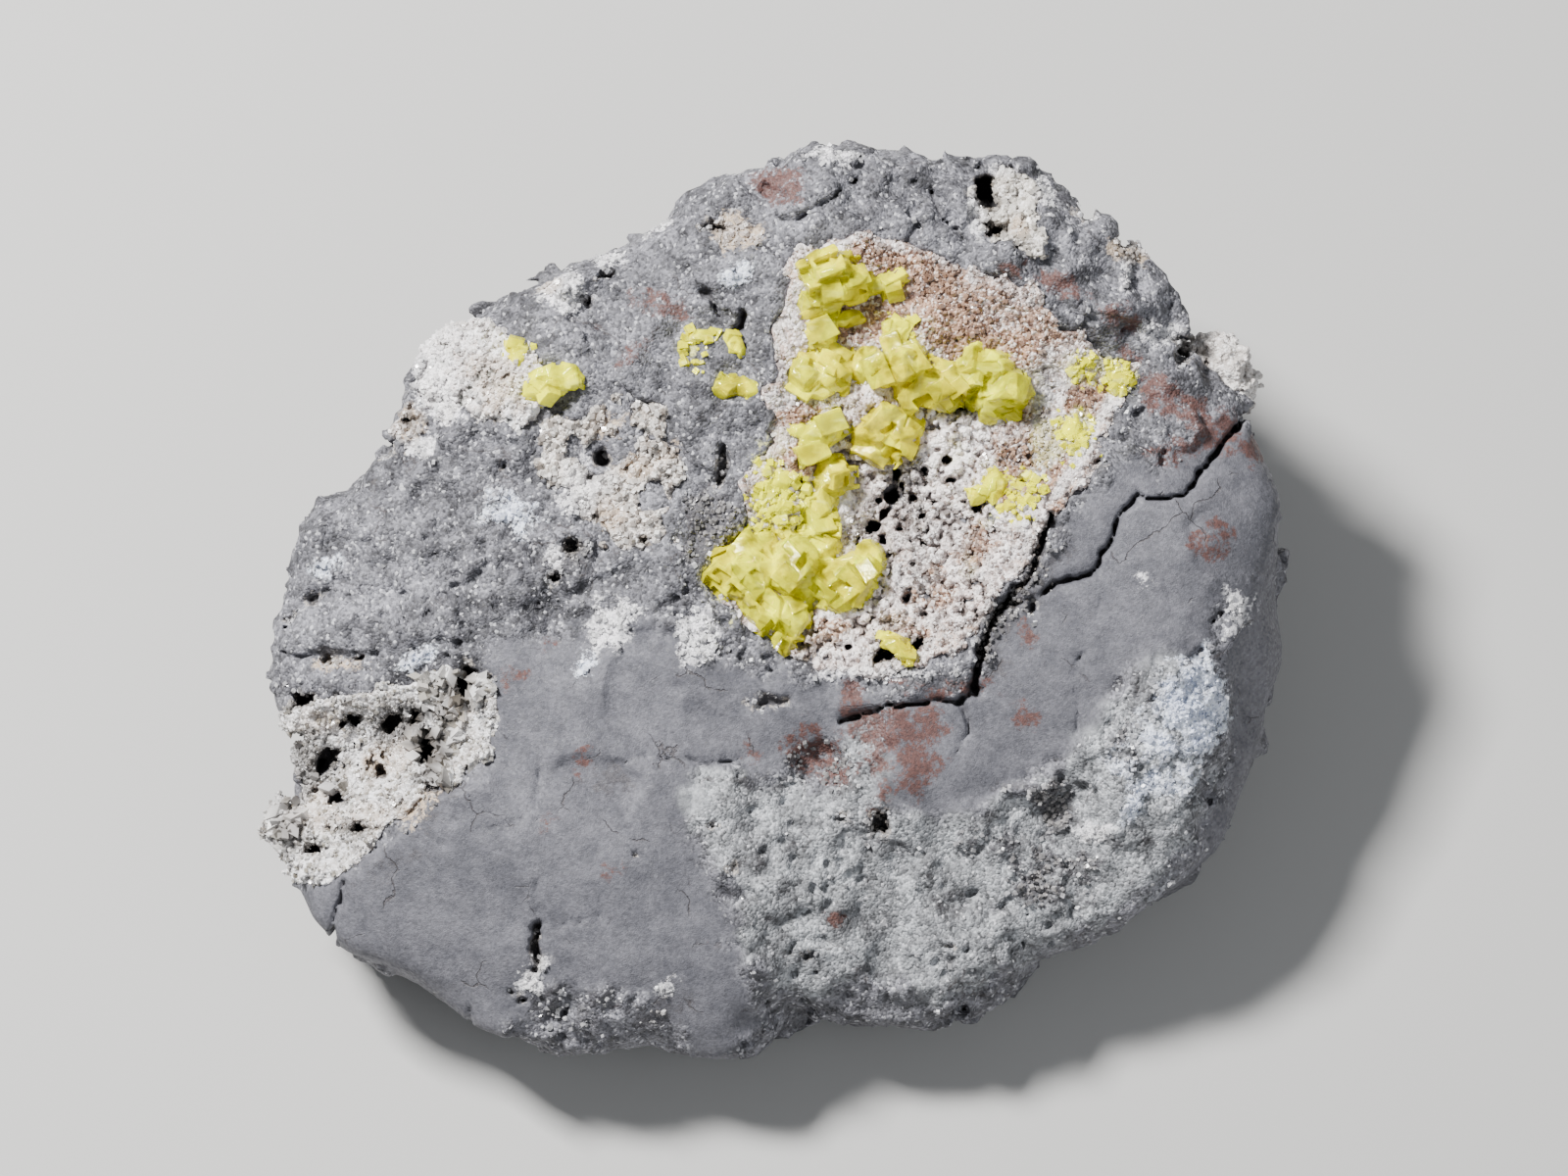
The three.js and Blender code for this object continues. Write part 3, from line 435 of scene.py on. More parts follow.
# Bosses and hollows of a few millimetres: u, v, radius, height.
BOSSES = [
    (3, 15, 3.2, 1.6), (4.5, 24.5, 3.2, 1.4), (6.5, 33, 3.4, 1.4), (39, 69, 1.8, 1.6),
    (-36, 54.5, 2.8, 3.2), (-30, 58, 2.6, 2.4), (-33, 57, 1.8, 2.4), (77, 11, 4, 1.6), (17, 35.5, 6, 1.2),
    (-69.5, -33.5, 2, 1.6), (8, -28, 4.6, -3.4), (-22, -11, 8, 1.6), (52, 45, 3, -0.8), (60, 50, 8, 1.2),
    (-4, 64, 4.5, -1.6), (24, -31, 4, 1), (-86, -27, 4, -3), (-81, -33, 6, -3), (-70, -26, 8, -3),
    (-57, -24, 4, -2.5), (48, -38, 6, -1.8), (33, -48, 7, -1), (68, -20, 6, 1.2), (20, -62, 9, -1.6),
    (2, -72, 6, -2), (46, 64, 6, 1.4), (-12, 14, 5, -0.9), (-6, 50, 5, -0.8), (22, 20, 6, -2.2),
    (17, 12, 5, -1.8), (30, 6, 6, -1), (9, -7, 8, -1.4), (20, -8, 6, -1.6),
]

# Step edges: the ground left of the line stands higher by height, and eases back over reach.
STEPS = [
    (1.3, 9, [(-29, -21), (-28, -12), (-25, -6), (-21, -4), (-17.5, -6), (-16, -11), (-16.5, -20)]),
    (1.8, 12, [(78, -12), (70, -10.5), (62, -13), (55, -23), (46, -31), (36, -35), (28, -37)]),
    (1.6, 10, [(-13, -29), (-13, -38), (-9, -50), (-5, -62), (-2, -70)]),
    (1.6, 8, [(33, 59), (42, 56), (50, 51.5), (60, 50), (70, 46)]),
    (2.0, 8, [(-48, -28), (-53, -32), (-60, -34), (-68, -43), (-78, -50)]),
    (1.2, 6, [(-40, -29), (-34, -27), (-27, -28), (-22, -32), (-25, -38)]),
    (1.5, 7, [(-90, -9), (-80, -8), (-68, -9), (-58, -6), (-50, -8)]),
    (1.4, 7, [(-38, 1), (-30, 5), (-20, 8), (-14, 6)]),
    (1.3, 6, [(-16, 36), (-15, 28), (-12, 20), (-14, 12)]),
    (1.4, 9, [(10, -20), (19, -19), (21, -28), (16, -36)]),
    (1.2, 6, [(80, 4), (74, 8), (73, 14), (78, 18)]),
]

# Cracks: half width at the start and end in mm, depth, line.
CRACKS = [
    (0.7, 0.8, 5, [(49, 15), (47, 10), (46, 6), (43.5, 2.5), (41.5, 0)]),
    (0.6, 0.8, 6, [(41.5, 0), (38.5, -3.5), (37, -8), (36.2, -12), (36, -15.5)]),
    (0.42, 0.3, 5, [(86, 35), (82, 31), (80, 29), (77.5, 25.5), (75.5, 23), (74, 20), (72, 18.3)]),
    (0.3, 0.28, 4, [(72, 18.3), (68.5, 18.1), (64, 18.6), (62, 16.6), (60.2, 14), (59.6, 10)]),
    (0.3, 0.28, 4, [(59.6, 10), (57.5, 7), (56, 4.6), (53, 4), (50, 3), (47, 1.5), (44, 0.2), (42, -1)]),
    (0.32, 0.24, 4, [(36, -15), (33, -17.5), (29, -17.4), (25, -18), (20, -18.2), (16, -19.6), (12, -21)]),
    (0.3, 0.15, 2, [(34, -18), (34.6, -23), (32, -26)]),
    (0.16, 0.12, 1.2, [(54, -9), (53, -12), (53.4, -15), (54, -25)]),
    (0.16, 0.12, 1.2, [(58, 0), (57, -3)]),
    (0.2, 0.14, 1.6, [(-3, -26.5), (-5, -27.2), (-12, -29), (-15, -27.4), (-20, -27), (-26, -28)]),
    (0.2, 0.12, 1.2, [(-40, -27), (-40.5, -33), (-41, -38), (-45, -38), (-50, -39.4)]),
    (0.3, 0.2, 2.2, [(-75, -49), (-76, -54), (-77, -57), (-78, -60)]),
    (0.2, 0.15, 1.4, [(-41, -46), (-40.6, -52), (-41, -57)]),
    (0.75, 0.5, 4, [(-41, -57), (-41.6, -61), (-41, -64.6)]),
    (0.2, 0.12, 1, [(-53, -71), (-53, -76)]),
    (0.16, 0.1, 1, [(-38, -57), (-34, -56), (-30, -55)]),
    (0.16, 0.1, 1, [(-54, -37), (-56.5, -39), (-58, -43)]),
    (0.7, 0.4, 4, [(-11.6, 54.6), (-10, 52.6), (-9, 50.4)]),
    (0.6, 0.3, 3.4, [(-5, 50.6), (-5.6, 48.4), (-6.8, 46.6)]),
    (0.8, 0.4, 4, [(-9, 26), (-8.2, 24), (-9, 21)]),
    (0.3, 0.2, 2, [(-86, -4), (-82, 0), (-78, 1.6)]),
    (0.2, 0.15, 1.6, [(-88, -9), (-80, -9.4), (-74, -9)]),
    (0.4, 0.25, 2.4, [(-72, 24.5), (-66, 28.5), (-62, 33)]),
    (0.3, 0.2, 2, [(15, 74), (9, 70), (5, 67)]),
    (0.35, 0.25, 2.4, [(28, 72), (30, 67), (34, 63)]),
]


def step_chart():
    total = np.zeros(len(flat_uv), np.float32)
    wander = ragged(6, 1.2, 21)
    for height, reach, line in STEPS:
        distance, side, along = distance_to_line(flat_uv, line)
        ends = smooth(0, 0.12, along) * smooth(1, 0.88, along)
        signed = distance * side + wander
        total += height * ends * smooth(-0.9, 0.9, signed) * np.exp(-np.abs(signed) / reach)
    return total.reshape(CHART_SIZE)


def crack_chart():
    """Depth of the cracks, V-shaped with ragged walls."""
    total = np.zeros(len(flat_uv), np.float32)
    wander_u, wander_v = ragged(3.2, 0.5, 31), ragged(3.2, 0.5, 35)
    moved = flat_uv + np.stack([wander_u, wander_v], 1)
    fray = np.clip(1 + 1.3 * octaves(flat_uvw, 1.5, 3, 0.65, 41), 0.6, 1.9)
    for start, end, depth, line in CRACKS:
        distance, _, along = distance_to_line(moved, line)
        half = (start + (end - start) * along) * fray
        total = np.maximum(total, depth * np.clip(1.25 - distance / np.maximum(half, 0.05), 0, 1))
    return total.reshape(CHART_SIZE)


def hole_chart():
    """Depth of the holes: steep walls and a ragged rim."""
    total = np.zeros(len(flat_uv), np.float32)
    edge = 0.5 * octaves(flat_uvw, 2.0, 3, 0.7, 51)
    moved = flat_uv + np.stack([ragged(2.2, 0.55, 55), ragged(2.2, 0.55, 58)], 1)
    for *place, depth in HOLES:
        near, out = ellipse(moved, *place)
        total[near] = np.maximum(total[near], depth * smooth(*HOLE_WALL, out + edge[near]))
    return total.reshape(CHART_SIZE)


def boss_chart():
    total = np.zeros(len(flat_uv), np.float32)
    for u, v, radius, height in BOSSES:
        square = (flat_uv[:, 0] - u) ** 2 + (flat_uv[:, 1] - v) ** 2
        total += height * np.exp(-square / (0.7 * radius * radius))
    return total.reshape(CHART_SIZE)


charts = {
    "main": area_chart(MAIN_CRUST, 0.8, 1.6, 1),
    "vug": area_chart(LEFT_VUG, 0.8, 1.4, 2),
    "upper_left": area_chart(UPPER_LEFT_CRUST, 0.8, 2.4, 3),
    "centre_left": area_chart(CENTRE_LEFT_CRUST, 1.0, 3.4, 4),
    "top_right": area_chart(TOP_RIGHT_LINING, 0.8, 2.0, 5),
    "smooth": np.max([area_chart(SMOOTH_LEFT, 1.2, 2.2, 6), area_chart(SMOOTH_RIGHT, 1.2, 2.2, 7),
                      area_chart(SMOOTH_FLANK, 1.0, 1.6, 9)], axis=0),
    "sugary": area_chart(SUGARY, 1.6, 3.4, 8),
    "stain": spot_chart(RED_STAINS, 0.75, 10, 0.5),
    "white": spot_chart(WHITE_SPOTS, 0.6, 11, 0.45),
    "blue": spot_chart(BLUE_SPOTS, 0.6, 12, 0.5),
    "dark": spot_chart(PAINTED_SHADE_SPOTS, 0.7, 13, 0.5),
    "tan": spot_chart(TAN_SPOTS, 0.6, 14, 0.4),
    "yellow": spot_chart(YELLOW_DUST, 0.7, 15, 0.4),
    "knobbly": spot_chart(KNOBBLY, 0.35, 16, 0.3),
    "brown": spot_chart(BROWN, 0.6, 17, 0.6),
    "grey": spot_chart(GREY_BAND, 0.6, 18, 0.5),
    "teeth": spot_chart(TEETH, 0.6, 20, 0.5),
}
charts["centre_left"] = charts["centre_left"] * (1 - spot_chart(GREY_ISLANDS, 0.7, 19, 0.3))
CRUST_CHARTS = ("main", "vug", "upper_left", "centre_left", "top_right")
charts["crust"] = np.max([charts[name] for name in CRUST_CHARTS], axis=0)
holes = hole_chart()
charts["rim"] = smooth(0.02, 0.5, holes) * smooth(2.2, 0.9, holes)  # a drusy lining round each hole
relief_chart = boss_chart() + step_chart()
pit_chart = np.maximum(holes, crack_chart())


# ------------------------------------------------------------------ the block's broad shape

COARSE = 1.0  # mm per voxel
SHAPE_LOW = np.array([-98.0, -90.0, -98.0])
SHAPE_SIZE = (196, 184, 118)
REACH = 12  # mm of distance kept each side of the surface
CLOSING = 2.6  # gaps narrower than twice this are filled
CALCITE_NODES = [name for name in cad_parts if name.startswith("calcite_")]
SULFUR_NODES = sorted(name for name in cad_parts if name.startswith("sulfur_"))
KNOB_NODE = "calcite_knob_right"


def distance_grid(name, low, size, step, reach):
    """Distance to a CAD node's surface, negative inside, over a box of the face frame."""
    points, triangles = node_mesh(name)
    scaled = ((points - low) / step).astype(np.float32)
    grid = openvdb.FloatGrid.createLevelSetFromPolygons(
        scaled, triangles=triangles.astype(np.uint32), halfWidth=reach / step)
    array = np.zeros(size, np.float32)
    grid.copyToArray(array, ijk=(0, 0, 0))
    return array * step


def soften(array, rounds):
    """Blurs an array by repeated small averages."""
    for _ in range(rounds):
        for axis in range(3):
            padded = np.concatenate([
                np.take(array, [0], axis), array, np.take(array, [-1], axis)], axis)
            n = array.shape[axis]
            left = np.take(padded, np.arange(0, n), axis)
            right = np.take(padded, np.arange(2, n + 2), axis)
            array = 0.25 * left + 0.5 * array + 0.25 * right
    return array


def broad_shape():
    block = distance_grid("limestone_matrix", SHAPE_LOW, SHAPE_SIZE, COARSE, REACH)
    for name in CALCITE_NODES:
        if name != KNOB_NODE:
            crust = distance_grid(name, SHAPE_LOW, SHAPE_SIZE, COARSE, REACH)
            block = np.minimum(block, crust)
    # Grown and shrunk again, so that the seams between minerals and the model's plain cleft are filled.
    volume = openvdb.FloatGrid(REACH)
    volume.copyFromArray(block / COARSE)
    points, triangles, quads = volume.convertToPolygons(isovalue=CLOSING / COARSE, adaptivity=0.0)
    grown = openvdb.FloatGrid.createLevelSetFromPolygons(
        points.astype(np.float32), triangles=triangles, quads=quads, halfWidth=REACH / COARSE)
    array = np.zeros(SHAPE_SIZE, np.float32)
    grown.copyToArray(array, ijk=(0, 0, 0))
    return soften(array * COARSE + CLOSING, 3)


shape = broad_shape()


def base_distance(p):
    return sample_grid(shape, (p - SHAPE_LOW) / COARSE)


def height_over_table(p):
    """How far face-frame points lie over the level plane that the block stands on, mm."""
    return p[:, 1] * math.sin(FACE_TILT) + p[:, 2] * math.cos(FACE_TILT) + FACE_ORIGIN[2]


# ------------------------------------------------------------------ meshes from volumes

THIN_LEVELS = 4
THIN_TOP = 0.9  # a vertex with a full weight would never be thinned
THIN_FACTOR = 4e-5  # small, so that the thinning still follows the shape
SLAB = 16  # layers of voxels worked on at a time
FLANK = (-34, -16)  # w over which the mineral face's own detail fades in
FADE = (-19, -14)  # and over which its crusts and spots do
DEEP_FIELDS = ("smooth", "sugary")  # these run on down the flank
TABLE_CLEARANCE = 0.02
COARSER = 1.0


def polygonize(values, low, step, reach):
    """The zero surface of an array as points in the face frame and faces."""
    volume = openvdb.FloatGrid(reach)
    volume.copyFromArray(np.clip(values, -reach, reach), tolerance=1e-6)
    points, triangles, quads = volume.convertToPolygons(isovalue=0.0, adaptivity=0.0)
    return points * step + low, triangles, quads


def shape_mesh(low, high, step, column_chart, lift, margin, shell=None):
    """Meshes the broad shape moved outwards within a box. Each column of the face moves it by its value
    in column_chart, and lift(points, front) adds the fine part, of margin mm at most. front is 1 on the
    mineral face and 0 on the flanks and the back. With shell, only a skin shell mm deep is solid."""
    size = tuple(int(math.ceil((high[k] - low[k]) / step)) for k in range(3))
    axes = [low[k] + step * np.arange(size[k]) for k in range(3)]
    uv = np.stack(np.meshgrid(axes[0], axes[1], indexing="ij"), -1).reshape(-1, 2)
    column = read_chart(column_chart, uv).astype(np.float32)
    reach = 3 * step
    values = np.empty(size, np.float32)
    for start in range(0, size[2], SLAB):
        stop = min(size[2], start + SLAB)
        count = stop - start
        p = np.empty((len(uv) * count, 3), np.float32)
        p[:, 0] = np.repeat(uv[:, 0], count)
        p[:, 1] = np.repeat(uv[:, 1], count)
        p[:, 2] = np.tile(axes[2][start:stop], len(uv))
        base = base_distance(p)
        front = smooth(*FLANK, p[:, 2]) if shell is None else np.ones(len(p), np.float32)
        slow = np.repeat(column, count) * front
        solid = base < slow
        near = np.abs(base - slow) < margin + reach
        if shell is not None:
            solid &= base > -shell
            near |= np.abs(base + shell) < reach
            near &= slow > -shell - margin
        near = np.flatnonzero(near)
        slab = np.where(solid, -reach, reach).astype(np.float32)
        if len(near):
            slab[near] = base[near] - slow[near] - lift(p[near], front[near])
            if shell is not None:
                slab[near] = np.maximum(slab[near], -(base[near] + shell))
        low_down = np.flatnonzero(height_over_table(p) < reach)
        slab[low_down] = np.maximum(slab[low_down], TABLE_CLEARANCE - height_over_table(p[low_down]))
        values[:, :, start:stop] = slab.reshape(size[0], size[1], count)
    values[[0, -1]] = reach
    values[:, [0, -1]] = reach
    values[:, :, [0, -1]] = reach
    return polygonize(values, low, step, reach)


def make_object(name, points, triangles, quads, smooth_faces=True):
    """A mesh object in the model's frame from face-frame points."""
    mesh = bpy.data.meshes.new(name)
    world = to_world(np.asarray(points, np.float64)).astype(np.float32)
    count_3, count_4 = len(triangles), len(quads)
    loops = np.concatenate([np.asarray(triangles).ravel(), np.asarray(quads).ravel()]).astype(np.int32)
    starts = np.concatenate([
        np.arange(count_3) * 3, 3 * count_3 + np.arange(count_4) * 4]).astype(np.int32)
    mesh.vertices.add(len(world))
    mesh.vertices.foreach_set("co", world.ravel())
    mesh.loops.add(len(loops))
    mesh.loops.foreach_set("vertex_index", loops)
    mesh.polygons.add(count_3 + count_4)
    mesh.polygons.foreach_set("loop_start", starts)
    mesh.polygons.foreach_set("use_smooth", np.full(count_3 + count_4, smooth_faces))
    mesh.update(calc_edges=True)
    mesh.validate()
    obj = bpy.data.objects.new(name, mesh)
    bpy.context.scene.collection.objects.link(obj)
    return obj


def mesh_points(obj):
    points = np.zeros(len(obj.data.vertices) * 3, np.float32)
    obj.data.vertices.foreach_get("co", points)
    return to_face(points.reshape(-1, 3).astype(np.float64)).astype(np.float32)


def keep_largest(points, triangles, quads):
    """Drops loose crumbs: keeps the faces joined to the largest group of vertices."""
    parent = np.arange(len(points))
    edges = []
    for faces in (triangles, quads):
        if len(faces):
            for k in range(1, faces.shape[1]):
                edges.append(faces[:, [0, k]])
    edges = np.concatenate(edges).astype(np.int64)
    changed = True
    while changed:
        a, b = parent[edges[:, 0]], parent[edges[:, 1]]
        low = np.minimum(a, b)
        before = parent.copy()
        np.minimum.at(parent, edges[:, 0], low)
        np.minimum.at(parent, edges[:, 1], low)
        np.minimum.at(parent, a, low)
        np.minimum.at(parent, b, low)
        parent = parent[parent]
        changed = not np.array_equal(before, parent)
    labels, counts = np.unique(parent, return_counts=True)
    keep = parent == labels[counts.argmax()]
    renumber = np.cumsum(keep) - 1
    kept = [faces[keep[faces[:, 0]]] for faces in (triangles, quads)]
    return points[keep], renumber[kept[0]], renumber[kept[1]]


def decimate(obj, faces, weights=None):
    """Thins a mesh to about this many triangles, most where weights are low."""
    polygons = len(obj.data.polygons)
    count = len(obj.data.loops) - 2 * polygons
    modifier = obj.modifiers.new("thin", "DECIMATE")
    modifier.ratio = min(1.0, faces / count)
    if weights is not None:
        group = obj.vertex_groups.new(name="thin")
        levels = np.round(weights * THIN_LEVELS).astype(int)
        for level in range(THIN_LEVELS + 1):
            members = np.flatnonzero(levels == level).tolist()
            if members:
                group.add(members, THIN_TOP * level / THIN_LEVELS, "REPLACE")
        modifier.vertex_group = "thin"
        modifier.vertex_group_factor = THIN_FACTOR
        modifier.invert_vertex_group = True
    apply_modifiers(obj)


def apply_modifiers(obj):
    """Replaces an object's mesh by what its modifiers make of it."""
    graph = bpy.context.evaluated_depsgraph_get()
    made = bpy.data.meshes.new_from_object(obj.evaluated_get(graph))
    obj.modifiers.clear()
    obj.vertex_groups.clear()
    old = obj.data
    obj.data = made
    made.name = old.name
    bpy.data.meshes.remove(old)


def store(obj, name, values):
    """Saves one number per vertex for the material to read."""
    attribute = obj.data.attributes.new(name, "FLOAT", "POINT")
    attribute.data.foreach_set("value", np.asarray(values, np.float32))


def finish_piece(obj, node, slot):
    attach(obj, "root")
    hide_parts(node)


def face_part(p):
    """1 on the mineral face, falling to 0 along a ragged line down its flanks."""
    return smooth(*FADE, p[:, 2] + 9 * noise(p, 9, 18) + 4 * noise(p, 3.5, 19))


def paint(obj, p, fields):
    """Stores on the vertices what lies where on the face, for the materials to read."""
    front = smooth(*FLANK, p[:, 2])
    shallow = face_part(p)
    for name in fields:
        store(obj, name, read_chart(charts[name], p) * (front if name in DEEP_FIELDS else shallow))
    # how deep a hole or crack lies under each vertex, for the painted shade in it
    store(obj, "pit_shade", smooth(0.8, 3.0, read_chart(pit_chart, p)) * front)


# ------------------------------------------------------------------ calcite surfaces

KNOB_WIDE, KNOB_NARROW = 1.6, 0.8  # mm across a large and a small knob
KNOB_RADIUS = 0.5  # of either, in shares of its width
KNOB_RANGE = (-1.9, 1.8)
GRAIN_FACETS = ((1.5, 0.3, 0.16), (0.8, 0.2, 0.1))  # width, tilt and step in height of the facets, mm
GRAIN_RANGE = (-1.4, 1.6)


def knobs(p):
    """Rounded knobs of two sizes with clefts between them."""
    large, _, owner = cells(p, KNOB_WIDE, 3)
    small, _, _ = cells(p, KNOB_NARROW, 4)
    proud = 0.65 * of_cell(lattice, owner)
    fluff = 0.5 + 1.1 * smooth(-0.3, 0.4, noise(p, 6, 17))
    height = fluff * (0.55 * (1 - (large / KNOB_RADIUS) ** 2) + proud)
    height = height + 0.36 * (1 - (small / KNOB_RADIUS) ** 2)
    return np.clip(height + 1.0 * noise(p, 4.5, 12) + 0.05, *KNOB_RANGE)


def angular_grains(p):
    """Tilted facets, each with its own height, as of small crystals set side by side."""
    total = 0.95 * noise(p, 5, 13)
    for size, tilt, step in GRAIN_FACETS:
        _, offset, owner = cells(p, size, 5)
        total = total + tilt * cell_tilt(offset, owner) + step * of_cell(lattice, owner)
    return np.clip(total, *GRAIN_RANGE)


# ------------------------------------------------------------------ the limestone block

CRUST_LOW, CRUST_HIGH = -36.0, 14.0  # every crust lies between these w
ROCK_STEP = 0.5
ROCK_FACES = 190_000
ROCK_MARGIN = 4.2  # the most that rock_lift() gives
ROCK_LOW, ROCK_HIGH = (-94.0, -86.0, -93.0), (94.0, 86.0, CRUST_HIGH)
ROCK_THIN = (-30, -12)  # w below which the stone is thinned most, and over which it is thinned least
BLOCK_SIZE = 15  # mm across the broken blocks of the flanks and the back
PIT_SIZE = 2.6  # mm between the pits of the rough stone
SPARRY_FIELDS = ("white", "blue", "tan", "dark")
ROCK_SWELL = (19, 0.55, 1.1)  # wavelength, height, and how much more it is on the back
# The stone's roughness: wavelength, then its height everywhere and how much more it is in the rough stone,
# in the rough or sugary stone, and on the back.
ROCK_NOISE = [
    (8, 0.20, 0.85, 0, 0.6),
    (3.9, 0.12, 0.62, 0, 0.25),
    (1.9, 0.07, 0, 0.42, 0),
    (1.05, 0.05, 0, 0.30, 0),
]
ROCK_FIELDS = ("rim", "smooth", "sugary", "stain", "white", "blue", "dark", "tan", "yellow")
CRUST_COVER = 1.5  # how far the stone lies under the calcite that covers it


def sunk_under_crust(crust):
    """How far the stone is set back where the crust chart has this value."""
    return CRUST_COVER * smooth(0.6, 1.0, crust)


def rock_lift(p, front):
    """How far the stone stands proud of the broad shape, apart from the slow part."""
    even = read_chart(charts["smooth"], p) * front
    sugary = read_chart(charts["sugary"], p) * front
    rough = np.clip(1 - even, 0, 1)
    back = 1 - front
    grainy = np.maximum(rough, sugary)
    wavelength, everywhere, on_back = ROCK_SWELL
    lift = (everywhere + on_back * back) * noise(p, wavelength, 1)
    for seed, (wavelength, everywhere, in_rough, in_grainy, on_back) in enumerate(ROCK_NOISE, 2):
        height = everywhere + in_rough * rough + in_grainy * grainy + on_back * back
        lift += height * noise(p, wavelength, seed)
    ridge = 1 - np.abs(noise(p, 6.5, 6)) * 2
    lift += 0.5 * rough * ridge
    sparry = np.max([read_chart(charts[name], p) for name in SPARRY_FIELDS], axis=0) * front
    spar = np.flatnonzero(sparry > 0.1)
    if len(spar):
        lift[spar] += 0.8 * sparry[spar] * angular_grains(p[spar])
    # lumps along the upper rim, between the left end and the right end
    around = smooth(0.6, 0.85, (p[:, 0] / 90) ** 2 + (p[:, 1] / 78) ** 2) * smooth(-4, 14, p[:, 1]) * rough
    lift += around * (1.5 * noise(p, 7, 15) + 0.9 * noise(p, 3, 16) + 0.25)
    # crumbly pits in the rough stone
    pick = smooth(0.05, 0.45, noise(p, 11, 7))
    pits = np.flatnonzero((rough > 0.3) & (pick > 0.1))
    if len(pits):
        nearest, _, _ = cells(p[pits], PIT_SIZE, 1)
        lift[pits] -= 1.5 * (rough * pick)[pits] * smooth(0.5, 0.15, nearest)
    # broken blocks on the flanks and the back
    sides = np.flatnonzero(back > 0.1)
    if len(sides):
        _, offset, owner = cells(p[sides], BLOCK_SIZE, 2)
        lift[sides] += 1.5 * back[sides] * np.clip(cell_tilt(offset, owner), -1, 1)
    crust = read_chart(charts["crust"], p)
    bare_again = sunk_under_crust(crust) * front * (1 - face_part(p))
    return lift * (1 - 0.75 * (crust * front)) + bare_again


rock_column = relief_chart - pit_chart - sunk_under_crust(charts["crust"])


def build_rock():
    low, high = np.array(ROCK_LOW), np.array(ROCK_HIGH)
    made = shape_mesh(low, high, ROCK_STEP * COARSER, rock_column, rock_lift, ROCK_MARGIN)
    rock = make_object("limestone_block", *keep_largest(*made))
    p = mesh_points(rock)
    decimate(rock, ROCK_FACES, smooth(*ROCK_THIN, p[:, 2]))
    finish_piece(rock, "limestone_matrix", "limestone")
    p = mesh_points(rock)
    paint(rock, p, ROCK_FIELDS)
    store(rock, "flank", 1 - face_part(p))
    rock.data.materials.append(limestone_material())
    return rock


# ------------------------------------------------------------------ materials

CALCITE_IOR, SULFUR_IOR = 1.6, 1.75
NOISE_SHIFT, GRAIN_SHIFT = (0.37, 0.11, 0.23), (0.53, 0.29, 0.17)  # how far a seed of 1 moves a texture
MIX_SOCKETS = {"FLOAT": (2, 0), "VECTOR": (4, 1), "RGBA": (6, 2)}  # a mix node's first input and its output


